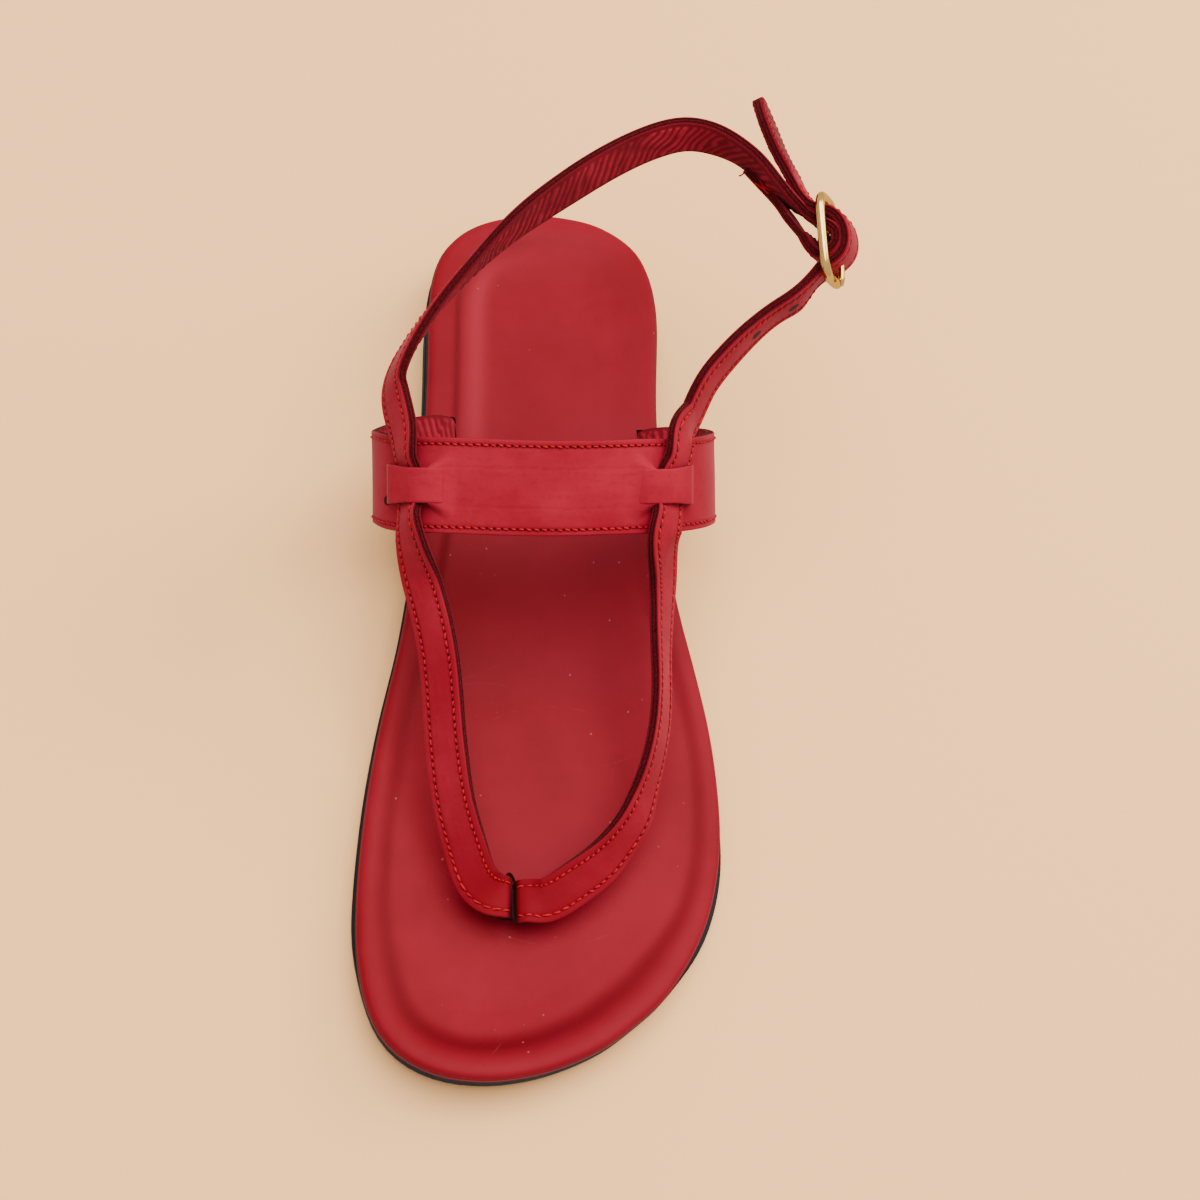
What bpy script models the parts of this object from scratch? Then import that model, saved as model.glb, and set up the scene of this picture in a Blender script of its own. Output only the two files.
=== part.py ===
"""Slingback thong sandal for the left foot, in metres, toe towards -Y and the outer side towards +X.

The sole, heel and footbed are slabs: rings worked inwards from one outline, each ring at a height that
follows the side profile. The straps are rounded strips swept along smooth paths and joined into one upper.
"""
import bmesh
import bpy
import numpy as np

# Named sizes
LENGTH = 0.2500
BALL_WIDTH = 0.0955
HEEL_HEIGHT = 0.0120
INSTEP_HEIGHT = 0.0725
TOE_SPRING = 0.0055
HEEL_BACK = 0.0327
OUTSOLE = 0.0030
OUTSOLE_PROUD = 0.0006
FOOTBED = 0.0077
BAND_WIDTH = 0.0240
BAND_THICK = 0.0025
STRAP_WIDTH = 0.0113
STRAP_THICK = 0.0026
BUCKLE_LONG = 0.0239
BUCKLE_HIGH = 0.0176
BUCKLE_ROD = 0.0012
GAP = 0.00035
CORE = 0.92
MM = 0.001

# Outline: share of LENGTH from the heel back, inner and outer edge as shares of BALL_WIDTH
OUTLINE = (
    (-0.0136, 0.011, 0.017), (-0.0096, -0.073, 0.103), (-0.0011, -0.155, 0.185), (0.0129, -0.223, 0.249),
    (0.0320, -0.274, 0.302), (0.0500, -0.303, 0.330), (0.0880, -0.333, 0.355), (0.1280, -0.345, 0.360),
    (0.1680, -0.350, 0.353), (0.2480, -0.362, 0.334), (0.3280, -0.376, 0.331), (0.4080, -0.397, 0.337),
    (0.4680, -0.424, 0.351), (0.5280, -0.455, 0.379), (0.5880, -0.495, 0.409), (0.6480, -0.530, 0.426),
    (0.7080, -0.558, 0.430), (0.7680, -0.578, 0.419), (0.8280, -0.590, 0.380), (0.8680, -0.588, 0.332),
    (0.9080, -0.573, 0.260), (0.9300, -0.556, 0.207), (0.9500, -0.530, 0.139), (0.9700, -0.485, 0.060),
    (0.9870, -0.415, -0.045), (0.9970, -0.330, -0.150), (1.0000, -0.250, -0.235),
)
# Side profile: share of LENGTH from the heel back, underside height as a share of HEEL_HEIGHT
PROFILE = (
    (-0.02, 1.000), (0.10, 0.985), (0.20, 0.950), (0.29, 0.870), (0.37, 0.690),
    (0.45, 0.430), (0.53, 0.165), (0.60, 0.000), (0.78, 0.000),
)
# Footbed top: inset from the edge in mm, drop below the rim in mm
RIM = ((0.0, 2.3), (0.55, 0.95), (1.6, 0.25), (3.2, 0.0), (6.2, 0.1), (8.6, 0.65), (10.6, 1.7), (13.0, 2.5), (17.5, 2.8))
# Instep band: x / BALL_WIDTH, share of LENGTH, z / INSTEP_HEIGHT, lean of its width in degrees
BAND = (
    (-0.290, 0.313, 0.212, 5), (-0.292, 0.316, 0.262, 7), (-0.324, 0.325, 0.331, 11), (-0.418, 0.347, 0.424, 16),
    (-0.510, 0.381, 0.545, 21), (-0.515, 0.400, 0.650, 24), (-0.478, 0.423, 0.757, 27), (-0.366, 0.443, 0.870, 29),
    (-0.084, 0.454, 0.918, 30), (0.168, 0.447, 0.890, 30), (0.310, 0.431, 0.805, 28), (0.396, 0.405, 0.676, 25),
    (0.420, 0.380, 0.552, 21), (0.388, 0.355, 0.428, 16), (0.320, 0.339, 0.335, 11), (0.279, 0.331, 0.262, 6),
    (0.278, 0.329, 0.212, 4),
)
# Straps: x / BALL_WIDTH, share of LENGTH, z / INSTEP_HEIGHT, outward turn of the face in degrees
INNER_FORE = (
    (-0.262, 0.806, 0.258, 14), (-0.296, 0.775, 0.295, 23), (-0.321, 0.741, 0.343, 30),
    (-0.339, 0.702, 0.400, 35), (-0.350, 0.656, 0.462, 38), (-0.358, 0.610, 0.524, 40), (-0.377, 0.563, 0.590, 43),
    (-0.411, 0.517, 0.665, 48),
)
INNER_AFT = (
    (-0.476, 0.338, 0.940, 64), (-0.448, 0.311, 0.993, 69), (-0.375, 0.271, 1.055, 72), (-0.273, 0.229, 1.110, 78),
    (-0.149, 0.187, 1.172, 90), (-0.016, 0.152, 1.221, 100), (0.123, 0.119, 1.255, 101), (0.267, 0.094, 1.276, 97),
    (0.335, 0.090, 1.283, 91), (0.403, 0.095, 1.283, 84), (0.468, 0.107, 1.276, 77), (0.525, 0.125, 1.262, 76),
    (0.575, 0.150, 1.246, 74),
)
OUTER_FORE = (
    (-0.091, 0.824, 0.240, 10), (-0.016, 0.811, 0.262, 18), (0.070, 0.788, 0.282, 34), (0.119, 0.768, 0.305, 46),
    (0.158, 0.748, 0.338, 50), (0.183, 0.725, 0.370, 57), (0.203, 0.703, 0.405, 62), (0.232, 0.657, 0.465, 64),
    (0.239, 0.611, 0.526, 64), (0.240, 0.564, 0.590, 60), (0.246, 0.518, 0.662, 52),
)
OUTER_AFT = (
    (0.325, 0.367, 0.905, 68), (0.363, 0.340, 0.955, 73), (0.411, 0.318, 0.995, 78), (0.487, 0.291, 1.041, 84),
    (0.569, 0.270, 1.090, 92), (0.623, 0.259, 1.122, 96),
)
# Straps over the band, from its front edge to its rear: place across it in mm, lift in mm, outward turn in degrees
INNER_CROSSING = ((12.5, 2.9, 22), (7.6, 2.8, 27), (3.4, 1.5, 16), (-3.4, 1.5, 16), (-7.6, 2.8, 22), (-12.5, 2.7, 12))
OUTER_CROSSING = ((12.5, 2.8, 15), (7.6, 2.6, 16), (3.4, 1.5, 12), (-3.4, 1.5, 12), (-7.6, 2.6, 16), (-12.5, 2.7, 14))
# Buckle: centre as shares, then paths round it in mm (along the strap, outwards, up the bar)
BUCKLE = (0.707, 0.2063, 1.2138)
ALONG_BUCKLE = (0.065, -0.936, -0.347)
UP_BUCKLE = (-0.480, -0.334, 0.811)
CHAPE = (
    (-8.4, -5.3, 0.0), (-5.6, -2.5, 0.0), (-3.5, 0.7, 0.0), (-1.2, 2.9, 0.0), (1.8, 2.6, 0.0), (3.7, 0.4, 0.0),
    (4.1, -2.0, 0.0), (2.4, -4.0, 0.0), (-1.6, -5.9, 0.0),
)
LAP = ((1.2, -4.7, 0.0), (-1.6, -5.9, 0.0), (-5.5, -7.6, 0.0), (-9.0, -9.0, 0.0), (-13.0, -11.3, -0.3), (-17.5, -14.6, -0.6))
OVER = (
    (9.7, -5.6, 0.0), (7.8, -2.8, 0.0), (6.8, 0.2, 0.0), (5.3, 3.0, 0.0),
    (3.0, 4.7, 0.0), (0.0, 5.2, 0.0), (-3.8, 4.3, 0.0), (-6.9, 1.4, 0.0), (-8.4, -2.3, 0.0), (-11.2, -5.1, 0.0),
    (-16.6, -7.6, 0.0), (-24.4, -10.9, 0.0), (-34.6, -14.0, 0.0), (-40.6, -15.6, 0.0),
)
TOE_POST = (-0.172, 0.822, 0.0128)
KEEPERS = (("inner", -0.428, 0.08, -1), ("outer", 0.250, -0.22, 1))
# Keeper over a strap: mm towards the band's middle, height over the band in mm
KEEPER_ARCH = (
    (-8.8, -0.55), (-7.5, 0.5), (-6.4, 2.1), (-4.8, 3.1), (0.0, 3.7), (4.2, 4.1), (7.2, 3.2), (10.2, 1.5), (13.2, -0.55),
)


def pchip(x, rows, column=1):
    """Shape-keeping cubic through the rows of a table, flat outside it."""
    t = np.array([r[0] for r in rows], float)
    v = np.array([r[column] for r in rows], float)
    h, d = np.diff(t), np.diff(v) / np.diff(t)
    m = np.zeros(len(t))
    same = d[:-1] * d[1:] > 0
    w1, w2 = 2 * h[1:] + h[:-1], h[1:] + 2 * h[:-1]
    m[1:-1][same] = ((w1 + w2)[same]) / (w1[same] / d[:-1][same] + w2[same] / d[1:][same])
    x = np.clip(np.asarray(x, float), t[0], t[-1])
    k = np.clip(np.searchsorted(t, x) - 1, 0, len(h) - 1)
    s = (x - t[k]) / h[k]
    a, b = v[k], v[k + 1]
    return (a * (1 + 2 * s) * (1 - s) ** 2 + m[k] * h[k] * s * (1 - s) ** 2
            + b * s * s * (3 - 2 * s) + m[k + 1] * h[k] * s * s * (s - 1))


def smooth(points, step=None, count=None, closed=False):
    """Natural cubic spline through rows of values, with the first three columns as the position.

    S(t) solves M k = 6 d2v, and the samples are spread evenly along the chord length.
    """
    p = np.asarray(points, float)
    if closed:
        p = np.vstack([p[-4:], p, p[:5]])
    t = np.concatenate([[0], np.cumsum(np.linalg.norm(np.diff(p[:, :3], axis=0), axis=1) ** 0.8)])
    h = np.diff(t)
    n = len(p)
    m = np.eye(n)
    r = np.zeros((n, p.shape[1]))
    for i in range(1, n - 1):
        m[i, i - 1:i + 2] = h[i - 1], 2 * (h[i - 1] + h[i]), h[i]
        r[i] = 6 * ((p[i + 1] - p[i]) / h[i] - (p[i] - p[i - 1]) / h[i - 1])
    c = np.linalg.solve(m, r)

    def at(x):
        k = np.clip(np.searchsorted(t, x) - 1, 0, n - 2)
        a = ((t[k + 1] - x) / h[k])[:, None]
        b = 1 - a
        hk = h[k][:, None]
        return a * p[k] + b * p[k + 1] + ((a ** 3 - a) * c[k] + (b ** 3 - b) * c[k + 1]) * hk * hk / 6

    lo, hi = (t[4], t[-5]) if closed else (t[0], t[-1])
    fine = np.linspace(lo, hi, 1200)
    q = at(fine)
    s = np.concatenate([[0], np.cumsum(np.linalg.norm(np.diff(q[:, :3], axis=0), axis=1))])
    count = count or max(4, int(round(s[-1] / step)) + 1)
    want = np.linspace(0, s[-1], count + 1 if closed else count)
    return at(np.interp(want[:-1] if closed else want, s, fine))


def unit(v):
    """Vectors scaled to length one along the last axis."""
    return v / np.maximum(np.linalg.norm(v, axis=-1, keepdims=True), 1e-12)


def place(rows):
    """Table rows as positions in metres, with the angle column kept."""
    r = np.asarray(rows, float)
    out = r.copy()
    out[:, 0] = r[:, 0] * BALL_WIDTH
    out[:, 1] = HEEL_BACK - r[:, 1] * LENGTH
    out[:, 2] = r[:, 2] * INSTEP_HEIGHT
    return out


def underside(y):
    """Height of the sole's underside: the heel's slope, the flat ball, then the toe spring."""
    s = (HEEL_BACK - np.asarray(y, float)) / LENGTH
    rise = np.clip((s - 0.78) / 0.22, 0, None)
    return pchip(s, PROFILE) * HEEL_HEIGHT + TOE_SPRING * rise ** 1.7


def outline(count):
    """Closed loop of the sole's edge, even in length, and the point of the middle line nearest to each."""
    left = [(a * BALL_WIDTH, HEEL_BACK - s * LENGTH, 0.0) for s, a, b in OUTLINE]
    right = [(b * BALL_WIDTH, HEEL_BACK - s * LENGTH, 0.0) for s, a, b in OUTLINE]
    loop = smooth(left + right[::-1], count=count, closed=True)[:, :2]
    return loop, nearest(loop, (0.004, 0.10), (-0.115, 0.82))


def nearest(loop, a, b):
    """Foot of each loop point on the middle line from a to b, both given as shares of width and length."""
    a = np.array([a[0] * BALL_WIDTH, HEEL_BACK - a[1] * LENGTH])
    b = np.array([b[0] * BALL_WIDTH, HEEL_BACK - b[1] * LENGTH])
    t = np.clip(((loop - a) @ (b - a)) / ((b - a) @ (b - a)), 0, 1)
    return a + t[:, None] * (b - a)


def finish(name, bm, colour, rough, metal=0.0, where=None):
    """Clean the mesh, face it outwards and hand it over as a named object with its own material."""
    bmesh.ops.remove_doubles(bm, verts=bm.verts, dist=2e-6)
    bmesh.ops.dissolve_degenerate(bm, edges=bm.edges, dist=1e-7)
    bmesh.ops.recalc_face_normals(bm, faces=bm.faces)
    mesh = bpy.data.meshes.new(name)
    bm.to_mesh(mesh)
    bm.free()
    obj = bpy.data.objects.new(name, mesh)
    (where or bpy.data.collections["slingback_sandal"]).objects.link(obj)
    if colour:
        mat = bpy.data.materials.new(name)
        mat.use_nodes = True
        node = mat.node_tree.nodes["Principled BSDF"]
        node.inputs["Base Color"].default_value = (*colour, 1)
        node.inputs["Roughness"].default_value = rough
        node.inputs["Metallic"].default_value = metal
        mesh.materials.append(mat)
    return obj


def rings_to_mesh(rings, caps=True, around=True):
    """Quads between rings of equal length, with an n-gon on each end when caps is set."""
    bm = bmesh.new()
    verts = [[bm.verts.new(p) for p in ring] for ring in rings]
    n = len(verts[0])
    for lower, upper in zip(verts, verts[1:]):
        for i in range(n if around else n - 1):
            j = (i + 1) % n
            bm.faces.new((lower[i], lower[j], upper[j], upper[i]))
    if caps:
        ends = [bm.faces.new(verts[0][::-1]), bm.faces.new(verts[-1])]
        bmesh.ops.triangulate(bm, faces=ends, ngon_method="BEAUTY")
    return bm


def slab(name, loop, spine, rows, colour, rough):
    """Solid made of rings: each row is (outward offset, inward share, height function of the ring)."""
    reach = np.linalg.norm(spine - loop, axis=1)[:, None]
    rings = []
    for offset, share, height in rows:
        ring = loop - unit(spine - loop) * offset
        ring = ring + (spine - ring) * share
        inset = reach[:, 0] * share - offset * (1 - share)
        rings.append(np.column_stack([ring, height(ring, inset)]))
    return finish(name, rings_to_mesh(rings), colour, rough)


def strip_rings(centres, normals, width, thick, edge=0.22):
    """Rounded rectangular sections along a path: c + a w W / 2 + b t N / 2."""
    tangent = unit(np.gradient(centres, axis=0))
    normal = unit(normals - (normals * tangent).sum(1)[:, None] * tangent)
    across = np.cross(tangent, normal)
    width = np.broadcast_to(width, len(centres))[:, None]
    thick = np.broadcast_to(thick, len(centres))[:, None]
    cut = edge * 2 * thick / width
    u, v = 1 - cut, np.full_like(cut, 1 - 2 * edge)
    one = np.ones_like(cut)
    section = ((-u, -one), (u, -one), (one, -v), (one, v), (u, one), (-u, one), (-one, v), (-one, -v))
    rings = [centres + across * p * width / 2 + normal * q * thick / 2 for p, q in section]
    return np.stack(rings, axis=1)


def faces_out(points, turns, side):
    """Normals of a strap whose face is turned outwards by the given degrees; side is -1 inner, +1 outer."""
    tangent = unit(np.gradient(points, axis=0))
    out = unit(np.column_stack([tangent[:, 1], -tangent[:, 0], np.zeros(len(points))])) * side
    up = unit(np.cross(np.cross(tangent, [0, 0, 1.0]), tangent))
    turns = np.radians(turns)[:, None]
    return np.cos(turns) * up + np.sin(turns) * out


def band_path(count):
    """Centre line, outward normals and width directions of the instep band."""
    p = smooth(place(BAND), count=count)
    lean = np.radians(p[:, 3])
    width = np.column_stack([np.zeros(count), -np.cos(lean), -np.sin(lean)])
    tangent = unit(np.gradient(p[:, :3], axis=0))
    return p[:, :3], unit(np.cross(width, tangent)), width, tangent


def band_at(x_share, shift=0.0):
    """Frame of the band's upper side at x / BALL_WIDTH, moved along the band by the shift in metres."""
    c, n, w, t = band_path(800)
    top = c[:, 2] > INSTEP_HEIGHT * 0.60
    k = np.argmin(np.where(top, np.abs(c[:, 0] - x_share * BALL_WIDTH), 9.0))
    k += int(round(shift / np.linalg.norm(c[k + 1] - c[k])))
    return c[k], n[k], w[k], t[k]


def crossing(rows, x_share, skew, side):
    """Strap stations over the band: on its front part, under the keeper, on its rear part."""
    points, normals = [], []
    for v, lift, turn in rows:
        c, n, w, t = band_at(x_share, skew * v * MM)
        points.append(c + w * v * MM + n * lift * MM)
        normals.append(n * np.cos(np.radians(turn)) + side * t * np.sin(np.radians(turn)))
    return np.array(points), np.array(normals)


def buckle_frame_axes():
    """Centre of the bar and the axes along the strap, up the bar and outwards."""
    c = place([(*BUCKLE, 0)])[0, :3]
    along = unit(np.array(ALONG_BUCKLE))
    up = unit(np.array(UP_BUCKLE))
    up = unit(up - up @ along * along)
    out = np.cross(up, along)
    return c, along, up, (out if out[0] > 0 else -out)


def round_buckle(rows):
    """Positions and face normals of a strap path given in the buckle's own axes."""
    c, along, up, out = buckle_frame_axes()
    r = np.asarray(rows, float) * MM
    return c + r[:, :1] * along + r[:, 1:2] * out + r[:, 2:] * up


def join_path(parts, step):
    """Sample positions and normals given as (points, normals) pairs into one smooth path."""
    pts = np.vstack([p for p, n in parts])
    nor = np.vstack([n for p, n in parts])
    q = smooth(np.hstack([pts, nor]), step=step)
    return q[:, :3], unit(q[:, 3:])


def side_normals(points, up):
    """Normals of a path that turns about the bar: tangent cross bar."""
    return unit(np.cross(np.gradient(points, axis=0), up))


def post_leg(side):
    """Strap leg that turns down into the toe slot, from its buried end upwards."""
    x, y = TOE_POST[0] * BALL_WIDTH, HEEL_BACK - TOE_POST[1] * LENGTH
    low = underside(y) + OUTSOLE + GAP * 3
    half = STRAP_THICK / 2 - 0.0004
    top, bend = 0.232 * INSTEP_HEIGHT, 0.0027
    rows = [(half, low, 0.0), (half, top - bend * 1.9, 0.0)]
    rows += [(half + bend * (1 - np.cos(g)), top - bend * (1 - np.sin(g)), g) for g in np.radians((5, 45, 85))]
    pts = [(x + side * a, y + (0.0003 if side < 0 else -0.0001) * i, z) for i, (a, z, g) in enumerate(rows)]
    nor = [(-side * np.cos(g), 0, np.sin(g)) for a, z, g in rows]
    return np.array(pts), np.array(nor, float)


def table(rows, side):
    """Strap stations of a table, with their face normals."""
    p = place(rows)
    return p[:, :3], faces_out(p[:, :3], p[:, 3], side)


def strap(name, path, width, thick, where):
    """One swept strip as a solid."""
    rings = strip_rings(path[0], path[1], width, thick)
    return finish(name, rings_to_mesh(list(rings)), None, 0, where=where)


def build_outline_parts():
    """Outsole, heel and footbed."""
    loop, spine = outline(76)

    def flat(lift):
        return lambda ring, inset: underside(ring[:, 1]) + lift

    slab("outsole", loop, spine, (
        (0, CORE, flat(0)), (0, 0.66, flat(0)), (0, 0.33, flat(0)), (OUTSOLE_PROUD - 0.0005, 0, flat(0)),
        (OUTSOLE_PROUD, 0, flat(0.0006)), (OUTSOLE_PROUD, 0, flat(OUTSOLE - 0.0005)),
        (OUTSOLE_PROUD - 0.0004, 0, flat(OUTSOLE)), (0, 0.33, flat(OUTSOLE)), (0, 0.66, flat(OUTSOLE)),
        (0, CORE, flat(OUTSOLE))), (0.012, 0.012, 0.013), 0.6)

    base = OUTSOLE + GAP
    deep = pchip(np.arange(0, 1.001, 0.01), ((0.0, 1.12), (0.25, 1.0), (0.5, 0.9), (0.75, 1.0), (0.93, 1.3), (1.0, 1.35)))

    def top(ring, inset):
        s = np.clip((HEEL_BACK - ring[:, 1]) / LENGTH, 0, 1)
        drop = pchip(inset / MM, RIM) * MM
        factor = np.interp(s, np.arange(0, 1.001, 0.01), deep)
        drop = np.where(inset > 0.0035, drop * factor, drop)
        return underside(ring[:, 1]) + base + FOOTBED - drop

    reach = 0.033
    edge = [(0, 0, flat(base)), (0, 0, flat(base + FOOTBED - 0.0023))]
    insets = [(0, d * MM / reach, top) for d, drop in RIM[1:]]
    slab_rows = [(0, CORE, flat(base)), (0, 0.6, flat(base)), (0, 0.25, flat(base)), *edge, *insets,
                 (0, 0.75, top), (0, CORE, top)]
    footbed = ring_slab_absolute("footbed", loop, spine, slab_rows, reach, (0.36, 0.012, 0.018), 0.5)
    cut_slots(footbed)

    back = [(s, a, b) for s, a, b in OUTLINE if s < 0.28] + [(0.285, -0.366, 0.332)]
    left = [(a * BALL_WIDTH, HEEL_BACK - s * LENGTH) for s, a, b in back]
    right = [(b * BALL_WIDTH, HEEL_BACK - s * LENGTH) for s, a, b in back]
    curve = smooth([(*p, 0) for p in left[::-1] + right], count=38)[:, :2]
    t = np.linspace(0, 1, 8)[1:-1, None]
    breast = curve[-1] + (curve[0] - curve[-1]) * t
    breast[:, 1] += 0.0035 * np.sin(np.pi * t[:, 0])
    loop2 = np.vstack([curve, breast])
    spine2 = nearest(loop2, (0.004, 0.11), (-0.01, 0.19))

    def share(k, lift=0.0):
        return lambda ring, inset: (underside(ring[:, 1]) - GAP) * k + lift

    def level(z):
        return lambda ring, inset: np.full(len(ring), z)

    top_piece = 0.0046
    slab("heel_top_piece", loop2, spine2, (
        (0, CORE, level(0)), (0, 0.5, level(0)), (0.0002, 0, level(0)), (0.0007, 0, level(0.0006)),
        (0.0005, 0, level(top_piece - 0.0003)), (0.0002, 0, level(top_piece)), (0, 0.5, level(top_piece)),
        (0, CORE, level(top_piece))), (0.015, 0.015, 0.016), 0.65)

    def lift(k):
        z0 = top_piece + GAP
        return lambda ring, inset: z0 + (underside(ring[:, 1]) - GAP - z0) * k

    slab("heel_stack", loop2, spine2, (
        (0, CORE, lift(0)), (0, 0.5, lift(0)), (0.0001, 0, lift(0)), (0.0004, 0, lift(0.05)),
        (0.0003, 0, lift(0.44)), (-0.0001, 0, lift(0.48)), (-0.0001, 0, lift(0.52)), (0.0002, 0, lift(0.56)),
        (0.0001, 0, lift(0.95)), (-0.0002, 0, lift(1.0)), (0, 0.5, lift(1.0)), (0, CORE, lift(1.0))),
        (0.03, 0.028, 0.028), 0.6)


def ring_slab_absolute(name, loop, spine, rows, reach, colour, rough):
    """Slab whose small inward shares mean a true distance of share times reach, the same all round."""
    far = np.linalg.norm(spine - loop, axis=1)
    rings = []
    for offset, share, height in rows:
        inset = np.minimum(share * reach, far) if share < 0.56 else far * share
        if share < 0.56 and height.__name__ != "top":
            inset = far * share
        ring = loop + unit(spine - loop) * inset[:, None]
        rings.append(np.column_stack([ring, height(ring, inset)]))
    return finish(name, rings_to_mesh(rings), colour, rough)


def box_cutter(name, centre, size, where, turn=0.0):
    """Box on a vertical axis, used to cut a slot."""
    bm = bmesh.new()
    bmesh.ops.create_cube(bm, size=1.0)
    c, s = np.cos(turn), np.sin(turn)
    for v in bm.verts:
        x, y, z = v.co.x * size[0], v.co.y * size[1], v.co.z * size[2]
        v.co = (centre[0] + c * x - s * y, centre[1] + s * x + c * y, centre[2] + z)
    obj = finish(name, bm, None, 0, where=where)
    hide(obj)
    return obj


def hide(obj):
    """Keep a cutter out of the render."""
    obj.hide_render = True
    obj.display_type = "WIRE"


def boolean(target, tool, operation):
    """Exact Boolean kept as a modifier."""
    mod = target.modifiers.new(tool.name, "BOOLEAN")
    mod.operation = operation
    mod.solver = "EXACT"
    mod.object = tool


def cut_slots(footbed):
    """Slots for the band's two ends and for the toe post."""
    cutters = bpy.data.collections["cutters"]
    c, n, w, t = band_path(64)
    low = c[:, 2] < INSTEP_HEIGHT * 0.45
    for name, keep in (("slot_inner", low & (c[:, 0] < 0)), ("slot_outer", low & (c[:, 0] > 0))):
        p, q = c[keep], n[keep]
        end = 0 if name == "slot_inner" else -1
        deep = p[end] - [0, 0, 0.008]
        p = np.vstack([[deep], p]) if end == 0 else np.vstack([p, [deep]])
        q = np.vstack([[q[end]], q]) if end == 0 else np.vstack([q, [q[end]]])
        wide = strip_rings(p, q, BAND_WIDTH + 4 * GAP, BAND_THICK + 2 * GAP + 0.0006)
        cutter = finish(name, rings_to_mesh(list(wide)), None, 0, where=cutters)
        hide(cutter)
        boolean(footbed, cutter, "DIFFERENCE")
    x, y = TOE_POST[0] * BALL_WIDTH, HEEL_BACK - TOE_POST[1] * LENGTH
    size = (2 * STRAP_THICK + 2 * GAP, STRAP_WIDTH + 2 * GAP + 0.0034, 0.05)
    boolean(footbed, box_cutter("slot_toe", (x, y + 0.0014, 0.02), size, cutters), "DIFFERENCE")


def build_upper():
    """Band, keepers, thong straps, ankle strap and tail as one solid."""
    cutters = bpy.data.collections["cutters"]
    c, n, w, t = band_path(64)
    upper = finish("upper", rings_to_mesh(list(strip_rings(c, n, BAND_WIDTH, BAND_THICK))), (0.36, 0.012, 0.018), 0.5)
    centre, along, up, out = buckle_frame_axes()
    tools = []
    for name, x_share, skew, side in KEEPERS:
        c, n, w, t = band_at(x_share)
        pts = np.array([c - side * t * m * MM + n * lift * MM for m, lift in KEEPER_ARCH])
        pts = smooth(pts, step=0.0013)
        nor = unit(np.cross(w, np.gradient(pts, axis=0)))
        if (nor @ n).mean() < 0:
            nor = -nor
        tools.append(strap("keeper_" + name, (pts, nor), 0.0104, 0.0021, cutters))

    cross_i, cross_o = crossing(INNER_CROSSING, *KEEPERS[0][1:]), crossing(OUTER_CROSSING, *KEEPERS[1][1:])
    chape = round_buckle(CHAPE)
    chape_n = side_normals(chape, up)
    if chape_n[0] @ out < 0:
        chape_n = -chape_n
    inner = join_path([post_leg(-1), table(INNER_FORE, -1), cross_i, table(INNER_AFT, -1), (chape, chape_n)], 0.0029)
    tools.append(strap("strap_inner", inner, STRAP_WIDTH, STRAP_THICK, cutters))

    x, y = TOE_POST[0] * BALL_WIDTH, HEEL_BACK - TOE_POST[1] * LENGTH
    low, high = underside(y) + OUTSOLE + GAP * 4, 0.214 * INSTEP_HEIGHT
    size = (0.0013, STRAP_WIDTH - 0.0011, high - low)
    tools.append(box_cutter("toe_core", (x, y + 0.0002, (low + high) / 2), size, cutters))

    lap = round_buckle(LAP)
    q, qn = join_path([(lap, side_normals(lap, up))], 0.0024)
    tools.append(strap("chape_lap", (q, qn), STRAP_WIDTH - 0.0002, STRAP_THICK - 0.0002, cutters))

    over = round_buckle(OVER)
    over_n = side_normals(over, up)
    if over_n[5] @ out < 0:
        over_n = -over_n
    outer = join_path([post_leg(1), table(OUTER_FORE, 1), cross_o, table(OUTER_AFT, 1), (over, over_n)], 0.0029)
    far = np.concatenate([[0], np.cumsum(np.linalg.norm(np.diff(outer[0], axis=0), axis=1))])
    taper = np.clip((far[-1] - far) / 0.007, 0.0, 1.0)
    tools.append(strap("strap_outer", outer, STRAP_WIDTH * (0.30 + 0.70 * taper), STRAP_THICK, cutters))
    for tool in tools:
        hide(tool)
        boolean(upper, tool, "UNION")

    spots = [(centre + (6.0 * along + 2.6 * out) * MM, along, 0.00135)]
    for i, (spot, direction, radius) in enumerate(spots):
        tool = rod("prong_hole_%d" % i, np.array([spot - direction * 0.004, spot + direction * 0.004]), radius, None,
                   where=cutters)
        hide(tool)
        boolean(upper, tool, "DIFFERENCE")
    slot = finish("chape_slot", box_in_axes((-3.6, 4.0), (-3.6, 3.6), (-1.25, 1.25)), None, 0, where=cutters)
    hide(slot)
    boolean(upper, slot, "DIFFERENCE")


def box_in_axes(a, o, u):
    """Box in the buckle's own axes, from ranges in mm along the strap, outwards and up the bar."""
    centre, along, up, out = buckle_frame_axes()
    bm = bmesh.new()
    corners = [[[bm.verts.new(centre + MM * (x * along + y * out + z * up)) for z in u] for y in o] for x in a]
    (p, q), (r, s) = corners
    for f in ((p[0], p[1], q[1], q[0]), (r[0], r[1], s[1], s[0]), (p[0], p[1], r[1], r[0]),
              (q[0], q[1], s[1], s[0]), (p[0], q[0], s[0], r[0]), (p[1], q[1], s[1], r[1])):
        bm.faces.new(f)
    return bm


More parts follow.
